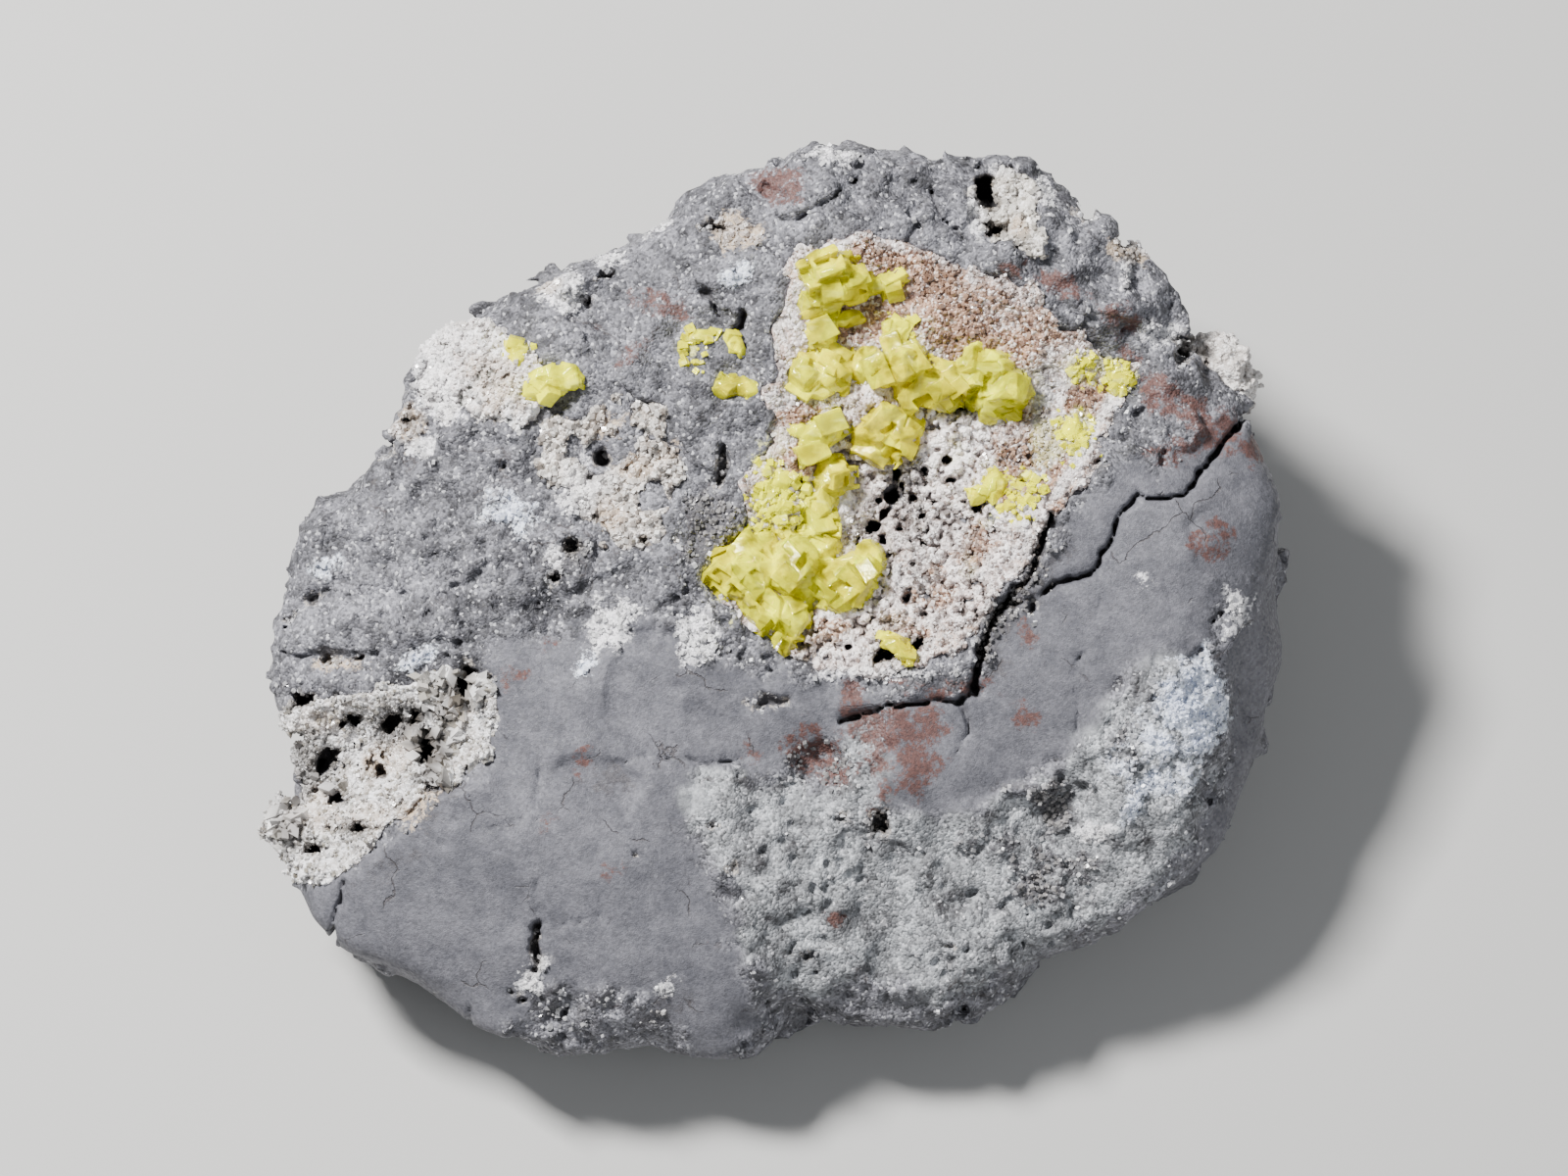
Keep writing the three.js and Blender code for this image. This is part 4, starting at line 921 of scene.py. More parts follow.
class Nodes:
    """A short way to write a material's nodes."""

    def __init__(self, name):
        self.material = bpy.data.materials.new(name)
        self.material.use_nodes = True
        self.tree = self.material.node_tree
        self.shader = self.tree.nodes["Principled BSDF"]
        self.output = self.tree.nodes["Material Output"]
        self.place = self.tree.nodes.new("ShaderNodeTexCoord").outputs["Object"]

    def add(self, kind, **inputs):
        node = self.tree.nodes.new(kind)
        for key, value in inputs.items():
            self.put(node.inputs[key.replace("_", " ")], value)
        return node

    def put(self, socket, value):
        if isinstance(value, bpy.types.NodeSocket):
            self.tree.links.new(value, socket)
        else:
            socket.default_value = value

    def shade(self, **inputs):
        """Sets inputs of the shader."""
        for key, value in inputs.items():
            self.put(self.shader.inputs[key.replace("_", " ")], value)

    def texture(self, kind, size_mm, vector):
        node = self.add(kind, Vector=vector)
        node.inputs["Scale"].default_value = 1 / (size_mm * MM)
        return node

    def shifted(self, shift, seed):
        """The place on the object, moved so that textures of different seeds differ."""
        moved = self.add("ShaderNodeVectorMath", Vector=self.place)
        moved.operation = "ADD"
        moved.inputs[1].default_value = [seed * step for step in shift]
        return moved.outputs["Vector"]

    def field(self, name):
        """A number stored on the mesh."""
        node = self.tree.nodes.new("ShaderNodeAttribute")
        node.attribute_name = name
        return node.outputs["Fac"]

    def noise(self, size_mm, detail=3.0, rough=0.55, seed=0.0):
        """Noise whose features measure about size_mm, from 0 to 1."""
        node = self.texture("ShaderNodeTexNoise", size_mm, self.shifted(NOISE_SHIFT, seed))
        node.inputs["Detail"].default_value = detail
        node.inputs["Roughness"].default_value = rough
        return node.outputs["Fac"]

    def streaks(self, width_mm, length_mm, seed):
        """Noise drawn out along one slanting line, from 0 to 1."""
        turned = self.tree.nodes.new("ShaderNodeMapping")
        self.put(turned.inputs["Vector"], self.place)
        turned.inputs["Rotation"].default_value = (0.5, 0.35, 0.9 + seed)
        turned.inputs["Scale"].default_value = (width_mm / length_mm, 1.0, 1.0)
        node = self.texture("ShaderNodeTexNoise", width_mm, turned.outputs["Vector"])
        node.inputs["Detail"].default_value = 4
        return node.outputs["Fac"]

    def grains(self, size_mm, seed=0.0):
        """Scattered grains of about size_mm: three random numbers per grain, distance from its middle."""
        node = self.texture("ShaderNodeTexVoronoi", size_mm, self.shifted(GRAIN_SHIFT, seed))
        split = self.add("ShaderNodeSeparateColor", Color=node.outputs["Color"])
        numbers = [split.outputs[name] for name in ("Red", "Green", "Blue")]
        return numbers, node.outputs["Distance"]

    def cracks(self, size_mm):
        """Distance to the nearest of a net of wandering lines, in shares of their spacing."""
        wander = self.add("ShaderNodeVectorMath", Vector=self.place)
        wander.operation = "ADD"
        noise = self.texture("ShaderNodeTexNoise", size_mm / 3, self.place)
        noise.inputs["Detail"].default_value = 5
        scaled = self.add("ShaderNodeVectorMath", Vector=noise.outputs["Color"])
        scaled.operation = "SCALE"
        scaled.inputs["Scale"].default_value = 0.4 * size_mm * MM
        self.put(wander.inputs[1], scaled.outputs["Vector"])
        node = self.texture("ShaderNodeTexVoronoi", size_mm, wander.outputs["Vector"])
        node.feature = "DISTANCE_TO_EDGE"
        return node.outputs["Distance"]

    def math(self, operation, a, b=0.0, clamp=False):
        node = self.tree.nodes.new("ShaderNodeMath")
        node.operation = operation
        node.use_clamp = clamp
        self.put(node.inputs[0], a)
        self.put(node.inputs[1], b)
        return node.outputs["Value"]

    def plus(self, a, b, clamp=False):
        return self.math("ADD", a, b, clamp)

    def times(self, a, b, clamp=False):
        return self.math("MULTIPLY", a, b, clamp)

    def rest(self, share, clamp=False):
        """1 less a share."""
        return self.math("SUBTRACT", 1.0, share, clamp)

    def weigh(self, a, weight_a, b, weight_b):
        """The sum of two values, each times its weight."""
        return self.plus(self.times(a, weight_a), self.times(b, weight_b))

    def ramp(self, value, low, high, to_low=0.0, to_high=1.0):
        """value spread evenly from low..high to to_low..to_high, and held there outside."""
        node = self.tree.nodes.new("ShaderNodeMapRange")
        self.put(node.inputs["Value"], value)
        node.inputs["From Min"].default_value = low
        node.inputs["From Max"].default_value = high
        node.inputs["To Min"].default_value = to_low
        node.inputs["To Max"].default_value = to_high
        return node.outputs["Result"]

    def between(self, kind, share, a, b, blend="MIX"):
        """Number, vector or colour a with b over it by share."""
        node = self.tree.nodes.new("ShaderNodeMix")
        node.data_type = kind
        node.blend_type = blend
        first, result = MIX_SOCKETS[kind]
        self.put(node.inputs[0], share)
        self.put(node.inputs[first], a)
        self.put(node.inputs[first + 1], b)
        return node.outputs[result]

    def mix(self, share, a, b, blend="MIX"):
        """Colour a with colour b over it by share."""
        a, b = (value if isinstance(value, bpy.types.NodeSocket) else (*value, 1.0) for value in (a, b))
        return self.between("RGBA", share, a, b, blend)

    def cover(self, colour, share, amount, over):
        """A colour with another over it by share times amount."""
        return self.mix(self.times(share, amount), colour, over)

    def bump(self, height, depth_mm, strength=1.0, normal=None):
        node = self.tree.nodes.new("ShaderNodeBump")
        node.inputs["Strength"].default_value = strength
        node.inputs["Distance"].default_value = depth_mm * MM
        self.put(node.inputs["Height"], height)
        if normal is not None:
            self.put(node.inputs["Normal"], normal)
        return node.outputs["Normal"]


def limestone_material():
    """Grey stone: mottled where it is rough, even where smooth, pale and grainy where sugary."""
    n = Nodes("limestone")
    even, sugary = n.field("smooth"), n.field("sugary")
    broad = n.noise(14, 4, 0.6, 1)
    medium = n.noise(3.2, 4, 0.65, 2)
    fine = n.noise(0.55, 3, 0.7, 3)
    (red, green, blue), grain_distance = n.grains(0.5, 1)
    tiny = n.noise(0.22, 2, 0.6, 4)
    tone = n.ramp(n.weigh(broad, 0.4, medium, 0.6), 0.40, 0.60)
    rough_stone = n.mix(tone, (0.038, 0.038, 0.044), (0.172, 0.172, 0.194))
    even_stone = n.mix(tone, (0.080, 0.081, 0.096), (0.134, 0.134, 0.154))
    wide = n.noise(7, 3, 0.6, 5)
    sugary_tone = n.ramp(n.weigh(wide, 0.6, medium, 0.4), 0.36, 0.62)
    sugary_stone = n.mix(sugary_tone, (0.036, 0.035, 0.038), (0.345, 0.36, 0.38))
    colour = n.mix(even, rough_stone, even_stone)
    colour = n.cover(colour, n.field("flank"), 0.3, (0.115, 0.114, 0.123))
    colour = n.cover(colour, sugary, 0.9, sugary_stone)
    # a salt-and-pepper grain, strongest in the rough stone
    salt = n.weigh(red, 0.5, tiny, 0.5)
    grainy = n.times(n.rest(even, True), n.rest(n.times(n.field("flank"), 0.3)))
    faint, strong = n.ramp(salt, 0.25, 0.75, 0.80, 1.20), n.ramp(salt, 0.25, 0.75, 0.42, 1.72)
    level = n.between("FLOAT", grainy, faint, strong)
    grey = n.add("ShaderNodeCombineColor", Red=level, Green=level, Blue=level)
    colour = n.mix(1.0, colour, grey.outputs["Color"], "MULTIPLY")
    fleck = n.times(n.ramp(green, 0.93, 0.96), grainy)
    colour = n.cover(colour, fleck, 0.5, (0.70, 0.70, 0.74))
    # coloured spots with crumbly edges; the dark ones are painted shade, most of them over the holes,
    # hollows and cracks
    crumble = n.weigh(n.noise(2.0, 5, 0.75, 13), 0.8, fine, 0.2)
    for name, tint_low, tint_high, amount in (
        ("dark", (0.022, 0.022, 0.028), (0.11, 0.105, 0.115), 0.9),
        ("stain", (0.030, 0.014, 0.012), (0.145, 0.062, 0.050), 0.88),
        ("tan", (0.30, 0.205, 0.13), (0.66, 0.55, 0.43), 0.9),
        ("rim", (0.28, 0.24, 0.20), (0.66, 0.61, 0.56), 0.7),
        ("blue", (0.54, 0.60, 0.80), (0.90, 0.95, 1.0), 1.0),
        ("white", (0.52, 0.51, 0.54), (0.97, 0.96, 0.99), 0.97),
        ("yellow", (0.42, 0.41, 0.08), (0.85, 0.85, 0.35), 0.85),
    ):
        tint = n.mix(n.ramp(n.plus(fine, n.times(tiny, 0.5)), 0.5, 0.95), tint_low, tint_high)
        edge = n.plus(n.field(name), n.ramp(crumble, 0.38, 0.62, -0.85, 0.5))
        share = n.times(n.ramp(edge, 0.05, 0.55), n.ramp(n.field(name), 0.0, 0.12))
        colour = n.cover(colour, share, amount, tint)
    # hairline cracks with brown edges, broken off here and there
    cracked = n.times(n.ramp(n.noise(9, 2, 0.5, 12), 0.54, 0.60), n.ramp(n.cracks(15), 0.012, 0.003))
    colour = n.cover(colour, cracked, 0.65, (0.050, 0.042, 0.042))
    # painted shade in the holes and cracks
    colour = n.cover(colour, n.field("pit_shade"), 0.75, (0.030, 0.027, 0.027))
    n.shade(Base_Color=colour, Roughness=n.ramp(blue, 0.0, 1.0, 0.45, 0.9), Specular_IOR_Level=0.4)
    # deep bumps in the grainy stone, shallow ones and the cracks in the even stone
    grainy_bump = n.bump(n.weigh(fine, 0.6, grain_distance, -0.5), 0.5, 0.75)
    flat = n.weigh(fine, 0.8, tiny, 0.5)
    even_bump = n.bump(n.math("SUBTRACT", n.plus(flat, n.times(medium, 0.8)), cracked), 0.22, 0.9)
    n.shade(Normal=n.between("VECTOR", n.times(even, 1.0, True), grainy_bump, even_bump))
    return n.material


def crust_material(name, light, middle, dark, tan_share):
    """Calcite druse: light on the knobs, with painted shade in its clefts and dark spots, and tan, brown
    and grey parts. dark is the colour of that painted shade.
    tan_share is how far the parts without knobs are of tan grains."""
    n = Nodes(name)
    height = n.field("height")
    fine = n.noise(0.5, 3, 0.6, 4)
    medium = n.noise(2.6, 4, 0.65, 5)
    broad = n.noise(9, 3, 0.55, 6)
    (red, _, blue), distance = n.grains(0.5, 2)
    tone = n.ramp(n.weigh(medium, 0.6, broad, 0.4), 0.41, 0.59)
    colour = n.mix(tone, middle, light)
    knobbly = n.ramp(n.field("knobbly"), 0.3, 0.7)
    (block_red, _, _), _ = n.grains(1.5, 4)
    mottle = n.weigh(red, 0.5, block_red, 0.5)
    tan_grain = n.mix(n.ramp(mottle, 0.25, 0.75), (0.15, 0.115, 0.105), (0.80, 0.73, 0.70))
    honey = n.ramp(n.noise(5, 4, 0.65, 14), 0.48, 0.54)
    tan_grain = n.cover(tan_grain, honey, 0.75, (0.47, 0.285, 0.185))
    tan_grain = n.cover(tan_grain, tone, 0.4, (0.84, 0.80, 0.81))
    colour = n.cover(colour, n.rest(knobbly), tan_share, tan_grain)
    brown_grain = n.mix(n.ramp(mottle, 0.25, 0.75), (0.12, 0.055, 0.034), (0.56, 0.34, 0.225))
    brown = n.ramp(n.plus(n.field("brown"), n.ramp(medium, 0.36, 0.64, -0.3, 0.4)), 0.0, 0.3)
    brown = n.times(brown, n.ramp(n.field("brown"), 0.02, 0.15))
    colour = n.cover(colour, brown, 0.95, brown_grain)
    colour = n.cover(colour, n.field("tan"), 0.7, (0.56, 0.42, 0.30))
    grey_grain = n.mix(blue, (0.17, 0.17, 0.185), (0.46, 0.46, 0.48))
    colour = n.cover(colour, n.field("grey"), 0.8, grey_grain)
    colour = n.cover(colour, n.field("white"), 0.85, (0.90, 0.88, 0.89))
    dusty = n.times(n.field("yellow"), n.ramp(medium, 0.42, 0.6))
    colour = n.cover(colour, dusty, 0.85, n.mix(fine, (0.62, 0.62, 0.10), (0.88, 0.88, 0.46)))
    colour = n.mix(n.ramp(red, 0.70, 0.84, 0.0, 0.6), colour, (0.97, 0.95, 0.95))
    # painted shade: the dark spots, the clefts between the knobs, and the holes and cracks are darkened
    shade = n.ramp(n.plus(n.field("dark"), n.ramp(fine, 0.35, 0.65, -0.3, 0.3)), 0.15, 0.9)
    colour = n.cover(colour, shade, 0.9, dark)
    cleft = n.ramp(n.plus(height, n.ramp(medium, 0.3, 0.7, -0.35, 0.35)), -0.4, -1.3)
    colour = n.cover(colour, cleft, 0.85, dark)
    colour = n.cover(colour, n.field("pit_shade"), 0.75, (0.045, 0.035, 0.03))
    n.shade(Base_Color=colour, Roughness=n.ramp(blue, 0.0, 1.0, 0.22, 0.75), Specular_IOR_Level=0.5)
    n.shade(Normal=n.bump(n.weigh(fine, 0.7, distance, -0.7), 0.5, 0.9))
    return n.material


def crystal_material(name, dark, light):
    """Small clear to milky calcite crystals, each with its own tone."""
    n = Nodes(name)
    tint = n.field("tint")
    fine = n.noise(0.6, 2, 0.5, 7)
    colour = n.mix(tint, dark, light)
    brown = n.mix(tint, (0.13, 0.065, 0.04), (0.58, 0.38, 0.27))
    colour = n.mix(n.ramp(n.field("brown"), 0.1, 0.5), colour, brown)
    for field, amount, over in (
        ("yellow", 0.5, (0.80, 0.80, 0.30)),
        ("white", 0.7, (0.92, 0.91, 0.92)),
        ("blue", 0.85, (0.76, 0.83, 1.0)),
        ("tan", 0.45, (0.66, 0.52, 0.39)),
    ):
        colour = n.cover(colour, n.field(field), amount, over)
    # painted shade: crystals in the dark spots, and in the holes and cracks, are darkened
    shade_tint = n.mix(tint, (0.03, 0.03, 0.035), (0.30, 0.28, 0.27))
    colour = n.mix(n.ramp(n.field("dark"), 0.1, 0.7, 0.0, 0.85), colour, shade_tint)
    colour = n.cover(colour, n.field("pit_shade"), 0.55, (0.10, 0.08, 0.06))
    n.shade(Base_Color=colour, Roughness=n.ramp(tint, 0.0, 1.0, 0.12, 0.5), Transmission_Weight=0.25,
            IOR=CALCITE_IOR, Normal=n.bump(fine, 0.08, 0.6))
    return n.material


def sulfur_material():
    """Translucent resinous yellow: glassy breaks, pale frosted veils and deeper gold in the thick parts."""
    n = Nodes("sulfur")
    depth, frosted = n.field("depth"), n.field("frosted")
    broad = n.noise(4.5, 3, 0.55, 8)
    medium = n.noise(1.6, 4, 0.6, 9)
    fine = n.noise(0.35, 3, 0.6, 10)
    streak = n.streaks(1.3, 6.0, 11)
    level = n.field("break")
    uneven = n.plus(n.times(level, 0.45), n.ramp(broad, 0.35, 0.65, -0.3, 0.3))
    tone = n.plus(depth, uneven, True)
    body = n.mix(tone, (1.0, 1.0, 0.0), (1.0, 0.86, 0.0))
    olive = n.ramp(n.plus(n.times(level, 0.25), broad), 0.5, 0.72)
    body = n.cover(body, olive, 0.55, (0.48, 0.47, 0.0))
    veil = n.times(n.ramp(streak, 0.54, 0.70), n.ramp(frosted, 0.0, 1.0, 0.1, 1.0))
    body = n.cover(body, veil, 0.75, (0.97, 0.99, 0.30))
    glassy = n.ramp(n.plus(broad, n.times(level, -0.12)), 0.40, 0.60, 0.1, 0.72)
    clear = n.times(n.times(glassy, n.rest(veil, True)), n.ramp(frosted, 0.0, 1.0, 1.0, 0.35))
    roughness = n.ramp(n.plus(medium, n.times(frosted, 0.2)), 0.35, 0.8, 0.03, 0.2)
    steps = n.math("FRACT", n.times(medium, 7.0))
    relief = n.plus(n.weigh(streak, 0.8, fine, 0.3), n.times(steps, 0.25))
    n.shade(Base_Color=body, Transmission_Weight=clear, Roughness=roughness,
            Normal=n.bump(relief, 0.22, 0.6), IOR=SULFUR_IOR, Specular_Tint=(1.0, 0.97, 0.5, 1.0),
            Subsurface_Weight=0.4, Subsurface_Radius=(1.0, 0.92, 0.04), Subsurface_Scale=1.0 * MM)
    return n.material


# Each crust's colours on its knobs and between them, the colour of the painted shade in its clefts and dark
# spots, and its share of tan grains.
CRUST_COLOURS = {
    "main": ((0.98, 0.945, 0.95), (0.80, 0.69, 0.66), (0.070, 0.048, 0.040), 0.85),
    "vug": ((0.86, 0.86, 0.89), (0.33, 0.295, 0.265), (0.045, 0.042, 0.034), 0),
    "upper_left": ((0.97, 0.97, 0.99), (0.60, 0.53, 0.50), (0.12, 0.13, 0.11), 0),
    "centre_left": ((0.72, 0.67, 0.62), (0.32, 0.27, 0.225), (0.10, 0.085, 0.07), 0),
    "top_right": ((0.70, 0.67, 0.62), (0.40, 0.37, 0.33), (0.06, 0.05, 0.045), 0),
    "knob": ((0.78, 0.75, 0.73), (0.50, 0.46, 0.43), (0.08, 0.065, 0.055), 0),
}
# The darkest and the lightest of the small crystals on each.
SPAR_COLOURS = {
    "stone": ((0.16, 0.16, 0.17), (0.80, 0.80, 0.83)),
    "main": ((0.26, 0.185, 0.16), (0.95, 0.91, 0.90)),
    "vug": ((0.30, 0.27, 0.22), (0.92, 0.92, 0.93)),
    "upper_left": ((0.62, 0.58, 0.55), (0.94, 0.93, 0.93)),
    "centre_left": ((0.26, 0.22, 0.19), (0.85, 0.83, 0.80)),
    "top_right": ((0.34, 0.31, 0.27), (0.80, 0.77, 0.72)),
}
crust_materials = {
    name: crust_material("calcite_" + name, *colours) for name, colours in CRUST_COLOURS.items()
}
crystal_materials = {
    name: crystal_material("spar_" + name, *colours) for name, colours in SPAR_COLOURS.items()
}
sulfur_mineral = sulfur_material()


# ------------------------------------------------------------------ the calcite crusts

SHELL = 3.0  # how deep a crust reaches behind the broad surface
CRUST_RISE = 0.2  # how far it stands over the broad surface on the whole
BURIED = 4.5  # how far its surface drops beyond its outline: under its own shell
CRUST_MARGIN = 1.9  # the most that knobs and grains move a surface
CRUST_THIN = (-2.6, -1.4)  # depth over which a crust's hidden back gives way to its outer side
CRYSTAL_FIELDS = ("brown", "yellow", "white", "blue", "tan", "dark", "rim")
CRUST_FIELDS = ("knobbly", "brown", "grey", "yellow", "tan", "white", "dark")

# Each crust: its CAD node, chart, slot, voxel, triangles, u and v of its box, how knobbly it is at least.
CRUSTS = [
    ("calcite_druse_main", "main", "calcite_white", 0.3, 182_000, (-16, -19), (71, 70), 0.0),
    ("calcite_druse_left_vug", "vug", "calcite_tan", 0.34, 90_000, (-94, -56), (-43, -5), 0.45),
    ("calcite_crust_upper_left", "upper_left", "calcite_white", 0.34, 32_000, (-70, 26), (-34, 56), 0.8),
    ("calcite_crust_centre_left", "centre_left", "calcite_tan", 0.34, 38_000, (-46, 3), (-9, 42), 0.5),
    ("calcite_lining_top_right", "top_right", "calcite_tan", 0.34, 20_000, (29, 55), (55, 81), 0.6),
]


def crust_lift(p, knobbly):
    """Knobs where a crust is knobbly, and flat grains elsewhere."""
    share = smooth(0.35, 0.65, knobbly + 0.25 * noise(p, 3, 14))
    height = np.zeros(len(p), np.float32)
    round_part, flat_part = np.flatnonzero(share > 0.01), np.flatnonzero(share < 0.99)
    height[round_part] += share[round_part] * knobs(p[round_part])
    height[flat_part] += (1 - share[flat_part]) * angular_grains(p[flat_part])
    return height


def build_crust(node, chart, slot, step, faces, low_uv, high_uv, least):
    extent = charts[chart]
    column = relief_chart - pit_chart + CRUST_RISE - BURIED * smooth(0.62, 0.08, extent)

    def knobbly_at(p):
        if chart != "main":
            return np.full(len(p), least)
        return np.maximum(read_chart(charts["knobbly"], p), least)

    def lift(p, _):
        part = face_part(p)
        raised = crust_lift(p, knobbly_at(p)) * smooth(0.1, 0.6, read_chart(extent, p))
        return raised * part - CRUST_MARGIN * (1 - part)

    low, high = np.array([*low_uv, CRUST_LOW], float), np.array([*high_uv, CRUST_HIGH])
    made = shape_mesh(low, high, step * COARSER, column, lift, CRUST_MARGIN, SHELL)
    crust = make_object(node + "_surface", *keep_largest(*made))
    p = mesh_points(crust)
    decimate(crust, faces, smooth(*CRUST_THIN, base_distance(p) - read_chart(column, p) * 0.5))
    finish_piece(crust, node, slot)
    p = mesh_points(crust)
    paint(crust, p, CRUST_FIELDS)
    store(crust, "height", crust_lift(p, knobbly_at(p)))
    crust.data.materials.append(crust_materials[chart])
    return crust


# ------------------------------------------------------------------ loose crystals on the crusts

CUBE = np.array([[x, y, z] for x in (-1, 1) for y in (-1, 1) for z in (-1, 1)], float)
CUBE_FACES = np.array([
    [0, 1, 3], [0, 3, 2], [4, 6, 7], [4, 7, 5], [0, 4, 5], [0, 5, 1],
    [2, 3, 7], [2, 7, 6], [0, 2, 6], [0, 6, 4], [1, 5, 7], [1, 7, 3],
])
RHOMB_FLATTEN = 0.72  # a calcite rhombohedron is a cube pressed along its long diagonal
TOOTH_STRETCH = 2.1  # and a dogtooth is one drawn out along it


def turns(count, random, up=None, spread=1.0):
    """Random rotations. With up, each turns Z towards it, within spread."""
    axis = random.normal(0, 1, (count, 3))
    if up is not None:
        axis = up + spread * axis / np.linalg.norm(axis, axis=1)[:, None]
    axis /= np.linalg.norm(axis, axis=1)[:, None]
    other = np.cross(axis, random.normal(0, 1, (count, 3)))
    other /= np.linalg.norm(other, axis=1)[:, None]
    return np.stack([np.cross(other, axis), other, axis], 1)


def diagonal_crystal(stretch):
    """A cube's corners, stood on its long diagonal and stretched along it."""
    diagonal = np.ones(3) / math.sqrt(3)
    side = np.array([1, -1, 0]) / math.sqrt(2)
    frame_rows = np.stack([np.cross(side, diagonal), side, diagonal])
    corners = CUBE @ frame_rows.T
    corners[:, 2] *= stretch
    return corners / 2


def strew(name, node, slot, material, places, sizes, rotations, corners):
    """One mesh of many small crystals, and its vertices in the face frame."""
    count = len(places)
    local = corners[None] * sizes.reshape(count, 1, -1)
    points = np.einsum("nij,njk->nik", local, rotations) + places[:, None]
    faces = CUBE_FACES[None] + (len(CUBE) * np.arange(count))[:, None, None]
    obj = make_object(name, points.reshape(-1, 3), faces.reshape(-1, 3), np.zeros((0, 4), int), False)
    finish_piece(obj, node, slot)
    obj.data.materials.append(material)
    return obj, mesh_points(obj)


def outer_spots(obj, count, density, random):
    """Random places on the outer side of a crust, likelier where density(points) is high."""
    p = mesh_points(obj)
    normals = np.zeros(len(p) * 3, np.float32)
    obj.data.vertex_normals.foreach_get("vector", normals)
    normals = normals.reshape(-1, 3) @ FACE_AXES.T
    weight = density(p) * (base_distance(p) > -2.4 - read_chart(pit_chart, p)) * (normals[:, 2] > -0.3)
    weight = np.maximum(weight, 0)
    picked = random.choice(len(p), count, p=weight / weight.sum())
    return p[picked] + random.normal(0, 0.15, (count, 3)), normals[picked]


def sparry(p):
    """Likelier in the grainy parts of the main crust, and in clusters."""
    clusters = 0.15 + smooth(-0.2, 0.25, noise(p, 5, 20))
    return (1.7 - np.clip(read_chart(charts["knobbly"], p), 0, 1)) * clusters


def toothed(p):
    return 0.004 + read_chart(charts["teeth"], p)


def anywhere(p):
    return np.ones(len(p))


def in_stone(p):
    """Likelier in the stone's coloured spots and round its holes, with a few in the rough stone."""
    rough = 1 - read_chart(charts["smooth"], p)
    spots = [read_chart(charts[name], p) for name in ("white", "blue", "tan", "rim")]
    spots.append(rough * read_chart(charts["dark"], p))
    bare = 1 - smooth(0.3, 0.6, read_chart(charts["crust"], p))
    return (np.max(spots, axis=0) ** 1.5 + 0.006 * rough ** 4) * bare * face_part(p)


# Small crystals: the surface, how many, their size in mm, their stretch, where they grow, and their lean.
CRYSTALS = [
    ("stone", 5500, 0.5, RHOMB_FLATTEN, in_stone, 1.0),
    ("main", 7500, 0.45, RHOMB_FLATTEN, sparry, 1.0),
    ("vug", 420, 0.95, TOOTH_STRETCH, toothed, 0.6),
    ("vug", 3800, 0.42, RHOMB_FLATTEN, anywhere, 1.0),
    ("upper_left", 1500, 0.5, RHOMB_FLATTEN, anywhere, 1.0),
    ("centre_left", 1500, 0.6, RHOMB_FLATTEN, anywhere, 1.0),
    ("top_right", 500, 0.6, RHOMB_FLATTEN, anywhere, 1.0),
]
SURFACE_NODES = {"stone": ("limestone_matrix", "limestone")}  # the CAD node and the slot of each surface
SURFACE_NODES.update({chart: (node, slot) for node, chart, slot, *_ in CRUSTS})


def build_crystals(surfaces):
    """Grains and dogteeth over the crusts, and spar in the stone."""
    for surface, count, size, stretch, density, lean in CRYSTALS:
        node, slot = SURFACE_NODES[surface]
        random = np.random.default_rng(count)
        places, normals = outer_spots(surfaces[surface], count, density, random)
        sizes = size * np.exp(np.clip(random.normal(0, 0.35, count), -0.7, 0.5))
        rotations = turns(count, random, normals, lean)
        tint = random.uniform(0, 1, count)
        name = node + ("_teeth" if stretch > 1 else "_grains")
        obj, p = strew(name, node, slot, crystal_materials[surface], places, sizes, rotations,
                       diagonal_crystal(stretch))
        paint(obj, p, CRYSTAL_FIELDS)
        store(obj, "tint", np.repeat(tint, len(CUBE)))


# ------------------------------------------------------------------ pieces that keep their own CAD shape

def distance_mesh(name, step, dilate, sink, reshape, margin):
    """Meshes a CAD node grown by dilate and moved sink mm into the face. reshape(points, distances) gives
    the new distances to the surface, at most margin mm from the old ones."""
    points, _ = node_mesh(name)
    pad = dilate + margin + 4 * step
    low = points.min(0) - pad
    size = tuple(int(math.ceil(n)) for n in (points.max(0) + pad - low) / step)
    distance = distance_grid(name, low, size, step, margin + dilate + 4 * step)
    reach = 3 * step
    values = np.clip(distance - dilate, -reach, reach)
    near = np.flatnonzero(np.abs(distance - dilate).ravel() < margin + reach)
    place = np.stack(np.unravel_index(near, size), 1) * step + low
    flat = values.ravel()
    flat[near] = reshape(place.astype(np.float32), distance.ravel()[near] - dilate)
    made = polygonize(flat.reshape(size), low, step, reach)
    points, triangles, quads = keep_largest(*made)
    points = points - np.array([0, 0, sink])
    return points, triangles, quads


KNOB_STEP = 0.3
KNOB_GROWTH = 0.2
KNOB_RELIEF = 0.9  # the knobs on it, against those of the crusts
KNOB_FACES = 26_000


def build_knob():
    """The drusy knob that hangs off the right shoulder."""
    def reshape(p, distance):
        return distance - KNOB_RELIEF * knobs(p)

    made = distance_mesh(KNOB_NODE, KNOB_STEP * COARSER, KNOB_GROWTH, 0, reshape, CRUST_MARGIN)
    knob = make_object("calcite_knob_surface", *made)
    decimate(knob, KNOB_FACES)
    finish_piece(knob, KNOB_NODE, "calcite_white")
    p = mesh_points(knob)
    paint(knob, p, CRUST_FIELDS)
    store(knob, "height", knobs(p))
    knob.data.materials.append(crust_materials["knob"])


# ------------------------------------------------------------------ the sulfur crystals

